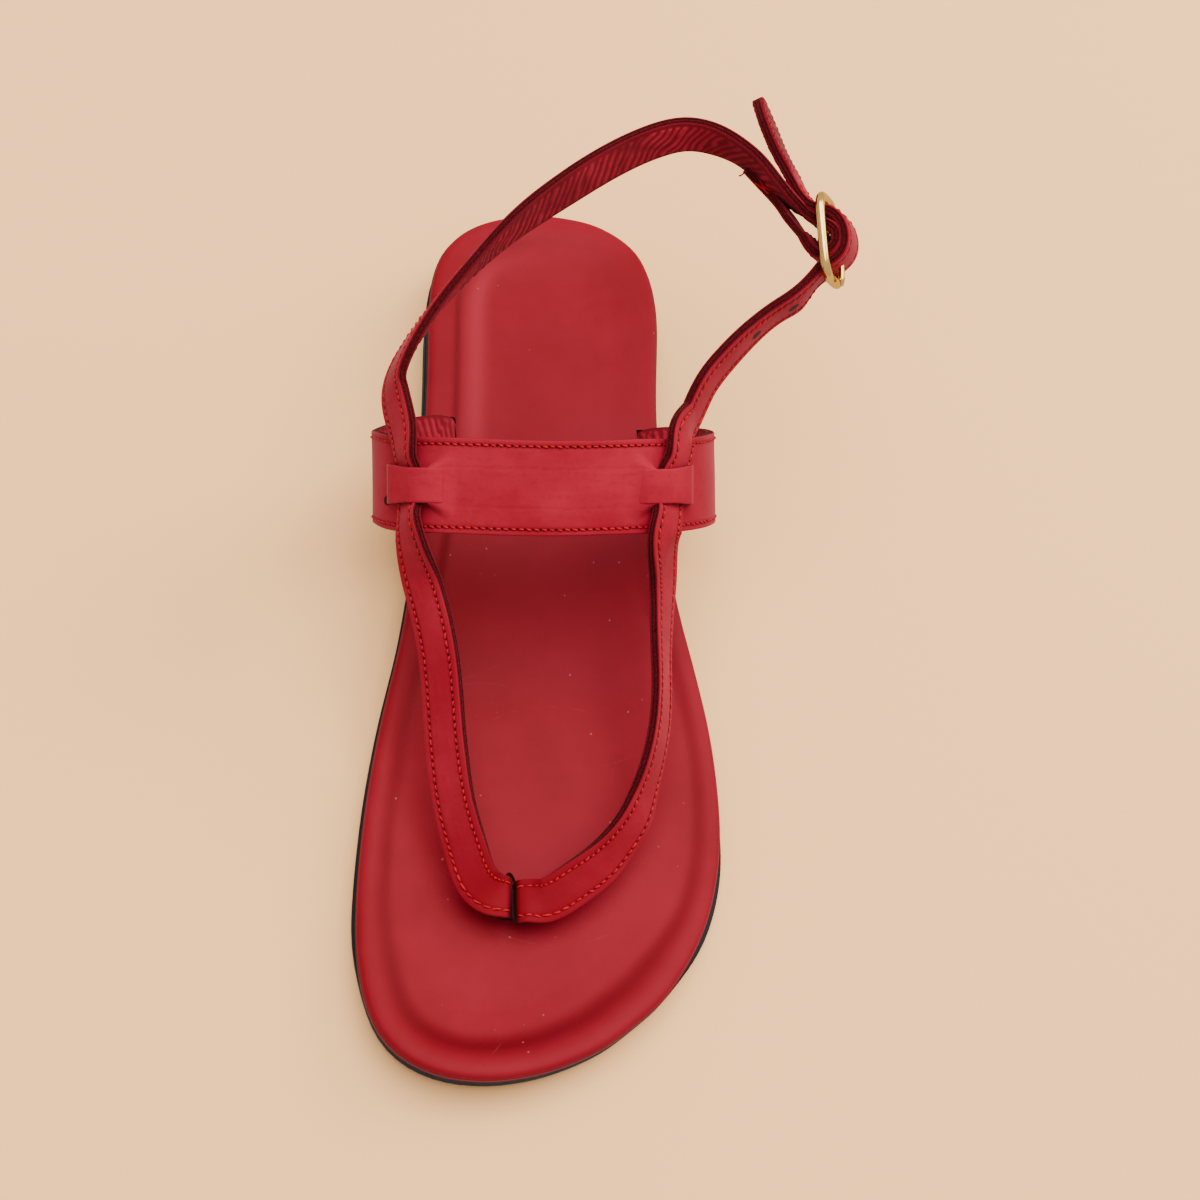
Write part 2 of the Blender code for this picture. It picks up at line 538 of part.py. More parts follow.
def rod(name, points, radius, colour, sides=10, closed=False, where=None, ends=None):
    """Round rod along a path, closed into a ring or capped."""
    p = np.asarray(points, float)
    if closed:
        tangent = unit(np.roll(p, -1, axis=0) - np.roll(p, 1, axis=0))
    else:
        tangent = unit(np.gradient(p, axis=0))
    guide = np.array([0.31, 0.17, 0.93]) if abs(tangent[0][2]) < 0.9 else np.array([1.0, 0.1, 0])
    if closed:
        guide = unit(np.cross(p[1] - p[0], p[len(p) // 3] - p[0]))
    a = unit(guide - (tangent @ guide)[:, None] * tangent)
    b = np.cross(tangent, a)
    radius = np.broadcast_to(radius, len(p))[:, None]
    turn = np.arange(sides) * 2 * np.pi / sides
    rings = [p[i] + radius[i] * (np.cos(turn)[:, None] * a[i] + np.sin(turn)[:, None] * b[i]) for i in range(len(p))]
    if closed:
        rings.append(rings[0])
    return finish(name, rings_to_mesh(rings, caps=not closed), colour, 0.22, 1.0, where=where)


def build_buckle():
    """Ring with its centre bar, and the prong that hooks over the front end."""
    cutters = bpy.data.collections["cutters"]
    centre, along, up, out = buckle_frame_axes()
    brass = (0.78, 0.58, 0.28)
    a, b, corner = BUCKLE_LONG / 2 - BUCKLE_ROD, BUCKLE_HIGH / 2 - BUCKLE_ROD, 0.0042
    path = []
    for sx, sy, start in ((1, 1, 0), (-1, 1, 90), (-1, -1, 180), (1, -1, 270)):
        for k in range(6):
            g = np.radians(start + k * 18)
            path.append(centre + along * (sx * (a - corner) + corner * np.cos(g))
                        + up * (sy * (b - corner) + corner * np.sin(g)))
    ring = rod("buckle_frame", path, BUCKLE_ROD, brass, closed=True)
    bar = rod("bar", np.array([centre - up * b, centre + up * b]), BUCKLE_ROD, None, sides=12, where=cutters)
    hide(bar)
    boolean(ring, bar, "UNION")

    eye = 0.0024
    turn = np.radians(np.linspace(85, 400, 20))
    loop = [centre + eye * (np.cos(g) * along + np.sin(g) * out) for g in turn]
    arm = round_buckle(((3.7, 2.45, 0.0), (6.5, 2.6, 0.0), (9.5, 2.45, 0.0), (12.4, 2.2, 0.0)))
    path = smooth(np.vstack([loop, arm]), step=0.0009)
    far = np.linspace(0, 1, len(path))
    prong = rod("buckle_prong", path, 0.00075 * np.where(far > 0.93, 0.8, 1.0), brass, sides=8)
    return ring, prong


def main():
    """Clear the file and build every piece."""
    for obj in list(bpy.data.objects):
        bpy.data.objects.remove(obj, do_unlink=True)
    for name in ("slingback_sandal", "cutters"):
        made = bpy.data.collections.new(name)
        bpy.context.scene.collection.children.link(made)
    build_outline_parts()
    build_upper()
    build_buckle()


main()
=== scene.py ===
"""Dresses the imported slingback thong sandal: leather, stitching, sole, buckle and stage."""

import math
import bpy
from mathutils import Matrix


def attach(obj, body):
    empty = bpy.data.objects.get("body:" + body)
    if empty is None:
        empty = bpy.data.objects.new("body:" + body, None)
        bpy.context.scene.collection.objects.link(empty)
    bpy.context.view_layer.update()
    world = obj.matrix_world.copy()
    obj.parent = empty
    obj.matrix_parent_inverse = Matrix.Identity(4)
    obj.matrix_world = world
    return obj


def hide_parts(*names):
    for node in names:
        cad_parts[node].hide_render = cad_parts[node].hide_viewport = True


bl_info = {
    "name": "Slingback Sandal Dressing",
    "version": (1, 0, 0),
    "blender": (4, 5, 0),
    "location": "View3D > Sidebar > Sandal",
    "description": "Builds the leather, stitching, sole and buckle of a thong sandal around its solids",
    "category": "Add Mesh",
}

import bmesh
import bpy
import numpy as np
from bpy.props import FloatProperty, FloatVectorProperty, PointerProperty
from mathutils import Euler, Vector

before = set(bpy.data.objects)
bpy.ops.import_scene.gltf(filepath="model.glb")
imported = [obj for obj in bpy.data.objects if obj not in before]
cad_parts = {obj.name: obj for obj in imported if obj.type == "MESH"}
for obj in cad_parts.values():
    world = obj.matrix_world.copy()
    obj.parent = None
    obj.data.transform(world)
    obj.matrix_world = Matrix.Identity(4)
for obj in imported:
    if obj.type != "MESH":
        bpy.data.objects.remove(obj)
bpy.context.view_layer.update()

# Sizes shared with the solids, in metres
LENGTH = 0.2500
BALL_WIDTH = 0.0955
HEEL_HEIGHT = 0.0120
INSTEP_HEIGHT = 0.0725
TOE_SPRING = 0.0055
HEEL_BACK = 0.0327
OUTSOLE = 0.0030
OUTSOLE_PROUD = 0.0006
FOOTBED = 0.0077
BAND_WIDTH = 0.0240
BAND_THICK = 0.0025
STRAP_WIDTH = 0.0113
STRAP_THICK = 0.0026
BUCKLE_LONG = 0.0239
BUCKLE_HIGH = 0.0176
BUCKLE_ROD = 0.0012
GAP = 0.00035
MM = 0.001

# Outline: share of LENGTH from a line 3.4 mm inside the heel's back, then both edges as shares of BALL_WIDTH
OUTLINE = (
    (-0.0136, 0.011, 0.017), (-0.0096, -0.073, 0.103), (-0.0011, -0.155, 0.185), (0.0129, -0.223, 0.249),
    (0.0320, -0.274, 0.302), (0.0500, -0.303, 0.330), (0.0880, -0.333, 0.355), (0.1280, -0.345, 0.360),
    (0.1680, -0.350, 0.353), (0.2480, -0.362, 0.334), (0.3280, -0.376, 0.331), (0.4080, -0.397, 0.337),
    (0.4680, -0.424, 0.351), (0.5280, -0.455, 0.379), (0.5880, -0.495, 0.409), (0.6480, -0.530, 0.426),
    (0.7080, -0.558, 0.430), (0.7680, -0.578, 0.419), (0.8280, -0.590, 0.380), (0.8680, -0.588, 0.332),
    (0.9080, -0.573, 0.260), (0.9300, -0.556, 0.207), (0.9500, -0.530, 0.139), (0.9700, -0.485, 0.060),
    (0.9870, -0.415, -0.045), (0.9970, -0.330, -0.150), (1.0000, -0.250, -0.235),
)
# Side profile: share of LENGTH, underside height as a share of HEEL_HEIGHT
PROFILE = (
    (-0.02, 1.000), (0.10, 0.985), (0.20, 0.950), (0.29, 0.870), (0.37, 0.690), (0.45, 0.430),
    (0.53, 0.165), (0.60, 0.000), (0.78, 0.000),
)
# Middle line from the heel's centre to the toe's: x / BALL_WIDTH and share of LENGTH, then its slope
MIDDLE_HEEL = (0.004, 0.10)
MIDDLE_TOE = (-0.115, 0.82)
MIDDLE_SLOPE = 0.165
# Footbed top: inset from the edge in mm, drop below the rim in mm
RIM = ((0.0, 2.3), (0.55, 0.95), (1.6, 0.25), (3.2, 0.0), (5.0, 0.0))
# Its moulded step: share of LENGTH, then inset, half width and depth in mm, and how strong the painted shade
# in its crease is
STEP_INNER = (
    (-0.02, 9.5, 4.5, 1.1, 0.15), (0.06, 9.0, 3.0, 1.5, 0.6), (0.12, 8.4, 1.9, 1.7, 1.0),
    (0.30, 8.4, 1.9, 1.7, 1.0), (0.46, 7.4, 2.4, 1.5, 0.8), (0.62, 6.2, 3.0, 1.2, 0.6),
    (0.80, 6.6, 3.2, 1.3, 0.7), (0.90, 8.2, 4.2, 1.8, 1.0), (1.00, 8.2, 4.8, 2.3, 1.25),
)
STEP_OUTER = (
    (-0.02, 9.5, 5.0, 1.1, 0.1), (0.06, 9.5, 5.5, 1.0, 0.0), (0.30, 9.0, 5.5, 1.0, 0.0),
    (0.50, 7.0, 3.6, 1.0, 0.2), (0.62, 5.4, 2.8, 1.0, 0.4), (0.80, 6.4, 3.4, 1.2, 0.6),
    (0.90, 8.4, 4.6, 1.8, 0.9), (1.00, 8.2, 4.8, 2.3, 1.25),
)
# Footbed: chamfer and height of its black foot, and the share of the way in at which its plain rings start
BED_CHAMFER = 0.0004
BLACK_FOOT = 0.0026
RINGS_END = 0.74
# Toe slot: half width, half length and how far its middle lies behind the toe post
TOE_SLOT = (0.0021, 0.0064, 0.0033)
# Edges of the outsole and the top piece from below: inset and height in metres
OUTSOLE_EDGE = (
    (0.0006, 0.0), (0.00028, 0.00008), (0.0001, 0.00025), (0.0, 0.0006), (0.0, 0.0015), (0.0, 0.0023),
    (0.00008, 0.0027), (0.00025, 0.0029), (0.0006, OUTSOLE),
)
TOP_PIECE = 0.0046
TOP_PIECE_EDGE = (
    (0.0004, 0.0), (0.0, 0.00015), (-0.0003, 0.0005), (-0.0005, 0.0011), (-0.0005, 0.0036), (-0.0004, 0.0042),
    (-0.0002, TOP_PIECE),
)
# Edge of the heel stack from below: inset in metres, share of its height
STACK_EDGE = (
    (0.0003, 0.0), (-0.0001, 0.02), (-0.0003, 0.06), (-0.0004, 0.42), (-0.0002, 0.47), (0.0002, 0.50),
    (-0.0002, 0.53), (-0.0003, 0.58), (-0.0002, 0.93), (0.0001, 0.98), (0.0004, 1.0),
)
# Front face of the heel: its share of LENGTH with both edges, and how far it bows back
HEEL_BREAST = (0.285, -0.366, 0.332)
BREAST_BOW = 0.0035
# Instep band: x / BALL_WIDTH, share of LENGTH, z / INSTEP_HEIGHT, lean of its width in degrees
BAND = (
    (-0.290, 0.313, 0.212, 5), (-0.292, 0.316, 0.262, 7), (-0.324, 0.325, 0.331, 11),
    (-0.418, 0.347, 0.424, 16), (-0.510, 0.381, 0.545, 21), (-0.515, 0.400, 0.650, 24),
    (-0.478, 0.423, 0.757, 27), (-0.366, 0.443, 0.870, 29), (-0.084, 0.454, 0.918, 30),
    (0.168, 0.447, 0.890, 30), (0.310, 0.431, 0.805, 28), (0.396, 0.405, 0.676, 25),
    (0.420, 0.380, 0.552, 21), (0.388, 0.355, 0.428, 16), (0.320, 0.339, 0.335, 11),
    (0.279, 0.331, 0.262, 6), (0.278, 0.329, 0.212, 4),
)
# Straps: x / BALL_WIDTH, share of LENGTH, z / INSTEP_HEIGHT, outward turn of the face in degrees
INNER_FORE = (
    (-0.262, 0.806, 0.258, 14), (-0.296, 0.775, 0.295, 23), (-0.321, 0.741, 0.343, 30),
    (-0.339, 0.702, 0.400, 35), (-0.350, 0.656, 0.462, 38), (-0.358, 0.610, 0.524, 40),
    (-0.377, 0.563, 0.590, 43), (-0.411, 0.517, 0.665, 48),
)
INNER_AFT = (
    (-0.476, 0.338, 0.940, 64), (-0.448, 0.311, 0.993, 69), (-0.375, 0.271, 1.055, 72),
    (-0.273, 0.229, 1.110, 78), (-0.149, 0.187, 1.172, 90), (-0.016, 0.152, 1.221, 100),
    (0.123, 0.119, 1.255, 101), (0.267, 0.094, 1.276, 97), (0.335, 0.090, 1.283, 91),
    (0.403, 0.095, 1.283, 84), (0.468, 0.107, 1.276, 77), (0.525, 0.125, 1.262, 76),
    (0.575, 0.150, 1.246, 74),
)
OUTER_FORE = (
    (-0.091, 0.824, 0.240, 10), (-0.016, 0.811, 0.262, 18), (0.070, 0.788, 0.282, 34),
    (0.119, 0.768, 0.305, 46), (0.158, 0.748, 0.338, 50), (0.183, 0.725, 0.370, 57),
    (0.203, 0.703, 0.405, 62), (0.232, 0.657, 0.465, 64), (0.239, 0.611, 0.526, 64),
    (0.240, 0.564, 0.590, 60), (0.246, 0.518, 0.662, 52),
)
OUTER_AFT = (
    (0.325, 0.367, 0.905, 68), (0.363, 0.340, 0.955, 73), (0.411, 0.318, 0.995, 78),
    (0.487, 0.291, 1.041, 84), (0.569, 0.270, 1.090, 90), (0.623, 0.259, 1.122, 90),
)
# Straps over the band, front edge to rear: place across it and lift in mm, outward turn in degrees
INNER_CROSSING = (
    (12.5, 2.9, 22), (7.6, 2.8, 27), (3.4, 1.5, 16), (-3.4, 1.5, 16), (-7.6, 2.8, 25), (-12.5, 2.7, 22),
)
OUTER_CROSSING = (
    (12.5, 2.8, 15), (7.6, 2.6, 16), (3.4, 1.5, 12), (-3.4, 1.5, 12), (-7.6, 2.6, 16), (-12.5, 2.7, 14),
)
# Buckle: centre as shares of the same three sizes, then its directions along the strap and up the bar
BUCKLE = (0.707, 0.2063, 1.2138)
ALONG_BUCKLE = (0.065, -0.936, -0.347)
UP_BUCKLE = (-0.480, -0.334, 0.811)
# Paths round the bar, in mm along the strap, outwards and up the bar: turned end, its lap, outer strap, prong
CHAPE = (
    (-8.4, -5.3, 0.0), (-5.6, -2.5, 0.0), (-3.5, 0.7, 0.0), (-1.2, 2.9, 0.0), (1.8, 2.6, 0.0),
    (3.7, 0.4, 0.0), (4.1, -2.0, 0.0), (2.4, -4.0, 0.0), (-1.6, -5.9, 0.0),
)
LAP = (
    (1.2, -4.7, 0.0), (-1.6, -6.3, 0.0), (-5.5, -8.9, -0.4), (-9.0, -10.8, -1.0), (-13.0, -13.4, -1.6),
    (-17.5, -16.7, -2.0), (-21.5, -19.6, -2.3),
)
OVER = (
    (7.9, -2.9, 0.0), (6.8, 0.2, 0.0), (5.3, 3.0, 0.0), (3.0, 4.7, 0.0), (0.0, 5.2, 0.0),
    (-3.8, 4.3, 0.0), (-6.9, 1.4, 0.0), (-8.4, -2.3, 0.0), (-11.2, -5.1, 0.0), (-16.6, -7.6, 0.0),
    (-24.4, -10.9, 0.0), (-34.6, -14.0, 0.0), (-40.6, -15.6, 0.0),
)
PRONG_ARM = ((3.7, 2.45, 0.0), (6.5, 2.6, 0.0), (9.5, 2.45, 0.0), (12.4, 2.2, 0.0))
# Frayed strands on the lap: place back from its free end, place across it, length along it, height off it
FRAYS = (
    (0.0085, 0.0059, 0.0044, -0.0010), (0.0070, 0.0061, -0.0032, -0.0014),
    (0.0078, 0.0060, 0.0030, 0.0008), (0.0100, 0.0059, 0.0052, 0.0004), (0.0006, 0.0056, 0.0006, 0.0024),
)
# Toe post: x / BALL_WIDTH, share of LENGTH
TOE_POST = (-0.172, 0.822)
# Keepers: name, x / BALL_WIDTH, skew of the strap under it, side of the foot
KEEPERS = (("inner", -0.428, 0.08, -1), ("outer", 0.250, -0.22, 1))
# A keeper from its far end towards the band's middle: place along the band and lift off it, in mm
KEEPER_OVER = ((-7.6, -0.55), (-6.6, 0.5), (-5.7, 2.1), (-4.5, 3.05), (0.0, 3.7), (3.4, 3.92))
# Its last part: place along the band, and lift off the leather that rises to meet it, in mm
KEEPER_DOWN = ((5.0, 0.05), (6.2, 0.03), (7.2, -0.05), (8.2, -0.35), (9.0, -0.9))
# That leather's height, and the stretch along the band over which it falls away
KEEPER_RISE = 0.0039
KEEPER_FALL = (0.0030, 0.0125)
KEEPER_WIDTH = 0.0102
KEEPER_THICK = 0.0021
# Small slit in the band beside the inner keeper, drawn as a dark spot of painted shade at its end: place
# along from it, place across, radius
SLIT = (-0.0080, 0.0046, 0.0012)

# Leather: distance between a strap's sections
STEP = 0.00048
# Thread: height over the leather, depth that a stitch's ends dive, stitch length as a share of the pitch
THREAD_LIFT = 0.00004
THREAD_DIVE = 0.00024
STITCH_SHARE = 0.80
# Depth of the wrinkles at which the lining counts as a full ridge
FULL_RIDGE = 0.0003
# Gathered lining of the band, inner and outer strap: pitch, slant, depth, margin left plain, seed
BAND_PLEATS = (0.0024, 0.16, 0.00052, 0.0003, 2)
INNER_PLEATS = (0.0024, -0.60, 0.00055, 0.0008, 5)
OUTER_PLEATS = (0.0021, 0.6, 0.00040, 0.0008, 8)
# Lines pressed into the band: places across it, depth and half width
PRESSED = (-0.0046, 0.0052)
PRESS_DEPTH = 0.00007
PRESS_HALF = 0.00028
# Free tail: length with the ragged face, pitch and depth of its scallops
TAIL = 0.026
SCALLOP = 0.0017
SCALLOP_DEPTH = 0.00042
# Punched holes, drawn as dark discs of painted shade: places past the fourth station of OUTER_AFT, place
# across, radius
PUNCHED = (0.0014, 0.0136)
PUNCH_ACROSS = 0.0002
PUNCH_RADIUS = 0.00120
# Places of the first stitch, and of the last one before the inner and the outer strap's end
FIRST_STITCH = 0.012
LAST_STITCH = (0.004, 0.027)
FRAY_RADIUS = 0.00021
# Buckle: corner radius of the frame, radius of the prong's eye, radius of the prong
CORNER = 0.0042
PRONG_EYE = 0.0024
PRONG = 0.00078

# Fixed tones of the leather: painted shade in needle pits, in the toe legs' gap and in holes, a painted
# highlight on the keeper's fold, then pale specks and scuffs
PIT_SHADE = (0.004, 0.0003, 0.0006)
TOE_GAP_SHADE = (0.008, 0.0004, 0.0007)
HOLE_SHADE = (0.022, 0.0006, 0.0012)
FOLD_HIGHLIGHT = (0.34, 0.060, 0.066)
SPECK = (0.42, 0.12, 0.10)
SCUFF = (0.30, 0.060, 0.060)
# Faint scuffs on the footbed: circle centre, radius and the x range they cover, in metres
SCRATCHES = (
    (-0.0215, -0.139, 0.0290, -0.041, -0.010), (-0.004, -0.150, 0.0330, -0.022, 0.010),
    (-0.030, -0.085, 0.0240, -0.036, -0.014), (0.004, -0.100, 0.0350, -0.012, 0.022),
    (-0.045, -0.190, 0.0300, -0.040, -0.018),
)

# Photograph: eye point, tilt and the pixel of the 1200 frame that the camera is turned to
EYE = (-0.06584, -0.3014, 0.478)
TILT = 30.0
PHOTO_FOCUS = 1500.0
PHOTO_MIDDLE = 600.0
AIM_PIXEL = (830.0, 738.0)
SENSOR = 36.0
LENS = 56.0

# Stage: half width of the floor and its tone for bounced light, then each light's name, place, size and power
FLOOR_REACH = 40.0
BOUNCE = (0.52, 0.44, 0.38)
LIGHTS = (("overhead", (0.10, 0.10, 1.40), 1.3, 33.0), ("key", (1.15, 0.35, 0.95), 0.9, 15.0))
LIGHTS_FACE = (0, -0.08, 0)
ROOM_COLOUR = (1.0, 0.99, 0.98, 1)
ROOM_LIGHT = 0.96


def length(name, description, default):
    """A length that the sidebar shows in the scene's units."""
    return FloatProperty(name=name, description=description, default=default, unit="LENGTH")


def finish(name, description, default):
    """A colour that the sidebar shows as a swatch."""
    return FloatVectorProperty(
        name=name, description=description, subtype="COLOR", default=default, min=0, max=1)


class SandalSizes(bpy.types.PropertyGroup):
    """Sizes that change the look without moving the solids."""
    row_inset: length("Row inset", "Strap edge to its stitch row", 0.0019)
    band_inset: length("Band row inset", "Band edge to its stitch row", 0.0016)
    pitch: length("Stitch pitch", "Distance from stitch to stitch", 0.00188)
    thread: length("Thread", "Radius of the thread", 0.00027)
    edge_round: length("Edge round", "Radius of the strap's cut edges", 0.00042)
    groove: length("Layer groove", "Depth of the line between leather and lining", 0.00022)


class SandalColours(bpy.types.PropertyGroup):
    """Colours of the finishes."""
    leather: finish("Leather", "Grain side of the leather", (0.184, 0.0034, 0.0088))
    lining: finish("Lining", "Back of the straps", (0.245, 0.0090, 0.0200))
    raw_edge: finish("Raw edge", "Felted cut edge", (0.048, 0.0022, 0.0040))
    thread: finish("Thread", "Bright stitching", (0.340, 0.0010, 0.0040))
    rubber: finish("Rubber", "Sole edge and heel", (0.0055, 0.0050, 0.0055))
    metal: finish("Metal", "Buckle", (0.680, 0.420, 0.130))
    floor: finish("Floor", "Plain backdrop", (0.930, 0.487, 0.196))


def pchip(x, rows, column=1):
    """Shape-keeping cubic through the rows of a table, flat outside it: Hermite form with harmonic slopes."""
    t = np.array([r[0] for r in rows], float)
    v = np.array([r[column] for r in rows], float)
    h, d = np.diff(t), np.diff(v) / np.diff(t)
    m = np.zeros(len(t))
    same = d[:-1] * d[1:] > 0
    w1, w2 = 2 * h[1:] + h[:-1], h[1:] + 2 * h[:-1]
    m[1:-1][same] = ((w1 + w2)[same]) / (w1[same] / d[:-1][same] + w2[same] / d[1:][same])
    x = np.clip(np.asarray(x, float), t[0], t[-1])
    k = np.clip(np.searchsorted(t, x) - 1, 0, len(h) - 1)
    s = (x - t[k]) / h[k]
    a, b = v[k], v[k + 1]
    return (a * (1 + 2 * s) * (1 - s) ** 2 + m[k] * h[k] * s * (1 - s) ** 2
            + b * s * s * (3 - 2 * s) + m[k + 1] * h[k] * s * s * (s - 1))


def smooth(points, step=None, count=None, closed=False):
    """Natural cubic spline through rows of values, sampled evenly along its length."""
    p = np.asarray(points, float)
    if closed:
        p = np.vstack([p[-4:], p, p[:5]])
    t = np.concatenate([[0], np.cumsum(np.linalg.norm(np.diff(p[:, :3], axis=0), axis=1) ** 0.8)])
    h = np.diff(t)
    n = len(p)
    m = np.eye(n)
    r = np.zeros((n, p.shape[1]))
    for i in range(1, n - 1):
        m[i, i - 1:i + 2] = h[i - 1], 2 * (h[i - 1] + h[i]), h[i]
        r[i] = 6 * ((p[i + 1] - p[i]) / h[i] - (p[i] - p[i - 1]) / h[i - 1])
    c = np.linalg.solve(m, r)

    def at(x):
        k = np.clip(np.searchsorted(t, x) - 1, 0, n - 2)
        a = ((t[k + 1] - x) / h[k])[:, None]
        b = 1 - a
        hk = h[k][:, None]
        return a * p[k] + b * p[k + 1] + ((a ** 3 - a) * c[k] + (b ** 3 - b) * c[k + 1]) * hk * hk / 6

    lo, hi = (t[4], t[-5]) if closed else (t[0], t[-1])
    fine = np.linspace(lo, hi, 8000)
    q = at(fine)
    s = np.concatenate([[0], np.cumsum(np.linalg.norm(np.diff(q[:, :3], axis=0), axis=1))])
    count = count or max(4, int(round(s[-1] / step)) + 1)
    want = np.linspace(0, s[-1], count + 1 if closed else count)
    return at(np.interp(want[:-1] if closed else want, s, fine))


def unit(v):
    """Vectors scaled to length one along the last axis."""
    return v / np.maximum(np.linalg.norm(v, axis=-1, keepdims=True), 1e-12)


def ease(x, lo, hi):
    """Smooth step: 0 below lo, 1 above hi, 3u^2 - 2u^3 between."""
    u = np.clip((x - lo) / (hi - lo), 0, 1)
    return u * u * (3 - 2 * u)


def ripple(s, seed, scale):
    """Gentle repeatable wander between about -1 and 1: five sines of unlike wavelengths."""
    total = 0.0
    for i in range(5):
        total = total + np.sin(s / scale * (0.7 + 0.53 * i) + seed * 1.7 + i * 2.1) / (1 + 0.6 * i)
    return total / 2.3


def place(rows):
    """Table rows as positions in metres, with the angle column kept."""
    r = np.asarray(rows, float)
    out = r.copy()
    out[:, 0] = r[:, 0] * BALL_WIDTH
    out[:, 1] = HEEL_BACK - r[:, 1] * LENGTH
    out[:, 2] = r[:, 2] * INSTEP_HEIGHT
    return out


def underside(y):
    """Height of the sole's underside: the heel's slope, the flat ball, then the toe spring."""
    s = (HEEL_BACK - np.asarray(y, float)) / LENGTH
    rise = np.clip((s - 0.78) / 0.22, 0, None)
    return pchip(s, PROFILE) * HEEL_HEIGHT + TOE_SPRING * rise ** 1.7


def faces_out(points, turns, side):
    """Normals of a strap whose face is turned outwards by the given degrees; side is -1 inner, +1 outer."""
    tangent = unit(np.gradient(points, axis=0))
    out = unit(np.column_stack([tangent[:, 1], -tangent[:, 0], np.zeros(len(points))])) * side
    up = unit(np.cross(np.cross(tangent, [0, 0, 1.0]), tangent))
    turns = np.radians(turns)[:, None]
    return np.cos(turns) * up + np.sin(turns) * out


def band_path(count):
    """Centre line, outward normals, width directions and tangents of the instep band."""
    p = smooth(place(BAND), count=count)
    lean = np.radians(p[:, 3])
    width = np.column_stack([np.zeros(count), -np.cos(lean), -np.sin(lean)])
    tangent = unit(np.gradient(p[:, :3], axis=0))
    return p[:, :3], unit(np.cross(width, tangent)), width, tangent


def band_at(x_share, shift=0.0):
    """Frame of the band's upper side at x / BALL_WIDTH, moved along the band by the shift in metres."""
    c, n, w, t = band_path(800)
    top = c[:, 2] > INSTEP_HEIGHT * 0.60
    k = np.argmin(np.where(top, np.abs(c[:, 0] - x_share * BALL_WIDTH), 9.0))
    k += int(round(shift / np.linalg.norm(c[k + 1] - c[k])))
    return c[k], n[k], w[k], t[k]


def crossing(rows, x_share, skew, side):
    """Strap stations over the band: on its front part, under the keeper, on its rear part."""
    points, normals = [], []
    for v, lift, turn in rows:
        c, n, w, t = band_at(x_share, skew * v * MM)
        points.append(c + w * v * MM + n * lift * MM)
        normals.append(n * np.cos(np.radians(turn)) + side * t * np.sin(np.radians(turn)))
    return np.array(points), np.array(normals)


def buckle_axes():
    """Centre of the bar and the axes along the strap, up the bar and outwards."""
    c = place([(*BUCKLE, 0)])[0, :3]
    along = unit(np.array(ALONG_BUCKLE))
    up = unit(np.array(UP_BUCKLE))
    up = unit(up - up @ along * along)
    out = np.cross(up, along)
    return c, along, up, (out if out[0] > 0 else -out)


def round_buckle(rows):
    """Positions of a path given in the buckle's own axes."""
    c, along, up, out = buckle_axes()
    r = np.asarray(rows, float) * MM
    return c + r[:, :1] * along + r[:, 1:2] * out + r[:, 2:] * up


def join_path(parts):
    """Positions and normals given as (points, normals) pairs, sampled into one smooth path."""
    pts = np.vstack([p for p, n in parts])
    nor = np.vstack([n for p, n in parts])
    q = smooth(np.hstack([pts, nor]), step=STEP)
    return q[:, :3], unit(q[:, 3:])


def turn_normals(points, side, station):
    """Normals of a path round the bar: tangent cross bar, on the given side at the given station."""
    n = unit(np.cross(np.gradient(points, axis=0), buckle_axes()[2]))
    return n if n[station] @ side > 0 else -n


def post_leg(side):
    """Strap leg that turns down into the toe slot, from its buried end upwards."""
    x, y = TOE_POST[0] * BALL_WIDTH, HEEL_BACK - TOE_POST[1] * LENGTH
    low = underside(y) + OUTSOLE + GAP * 3
    half = STRAP_THICK / 2 - 0.0001
    top, bend = 0.232 * INSTEP_HEIGHT, 0.0027
    rows = [(half, low, 0.0), (half, top - bend * 1.9, 0.0)]
    for g in np.radians((5, 45, 85)):
        rows.append((half + bend * (1 - np.cos(g)), top - bend * (1 - np.sin(g)), g))
    back = 0.0003 if side < 0 else -0.0001
    pts = [(x + side * a, y + back * i, z) for i, (a, z, g) in enumerate(rows)]
    nor = [(-side * np.cos(g), 0, np.sin(g)) for a, z, g in rows]
    return np.array(pts), np.array(nor, float)


def table(rows, side):
    """Strap stations of a table, with their face normals."""
    p = place(rows)
    return p[:, :3], faces_out(p[:, :3], p[:, 3], side)


class Route:
    """A path as arrays: length run s, centre c, tangent t, face normal n and width direction w."""

    def __init__(self, centres, normals):
        self.c = np.asarray(centres, float)
        self.s = np.concatenate([[0], np.cumsum(np.linalg.norm(np.diff(self.c, axis=0), axis=1))])
        self.t = unit(np.gradient(self.c, axis=0))
        self.n = unit(normals - (normals * self.t).sum(1)[:, None] * self.t)
        self.w = np.cross(self.t, self.n)

    def at(self, s):
        """Centre, tangent, normal and width direction at any lengths, by linear interpolation."""
        s = np.asarray(s, float)
        found = []
        for v in (self.c, self.t, self.n, self.w):
            found.append(np.stack([np.interp(s, self.s, v[:, i]) for i in range(3)], -1))
        return found

    def find(self, point):
        """Length at the station nearest to a point."""
        return self.s[np.argmin(np.linalg.norm(self.c - np.asarray(point), axis=1))]


def strap_route(side, keeper, fore, rows, aft, turn, station):
    """A thong strap from its buried end over the band, along the ankle and round the buckle's bar."""
    points = round_buckle(turn)
    ending = points, turn_normals(points, buckle_axes()[3], station)
    over_band = crossing(rows, *keeper[1:])
    return Route(*join_path([post_leg(side), table(fore, side), over_band, table(aft, side), ending]))


def inner_route():
    """Inner thong strap, over the band, round behind the heel and into the chape."""
    return strap_route(-1, KEEPERS[0], INNER_FORE, INNER_CROSSING, INNER_AFT, CHAPE, 0)


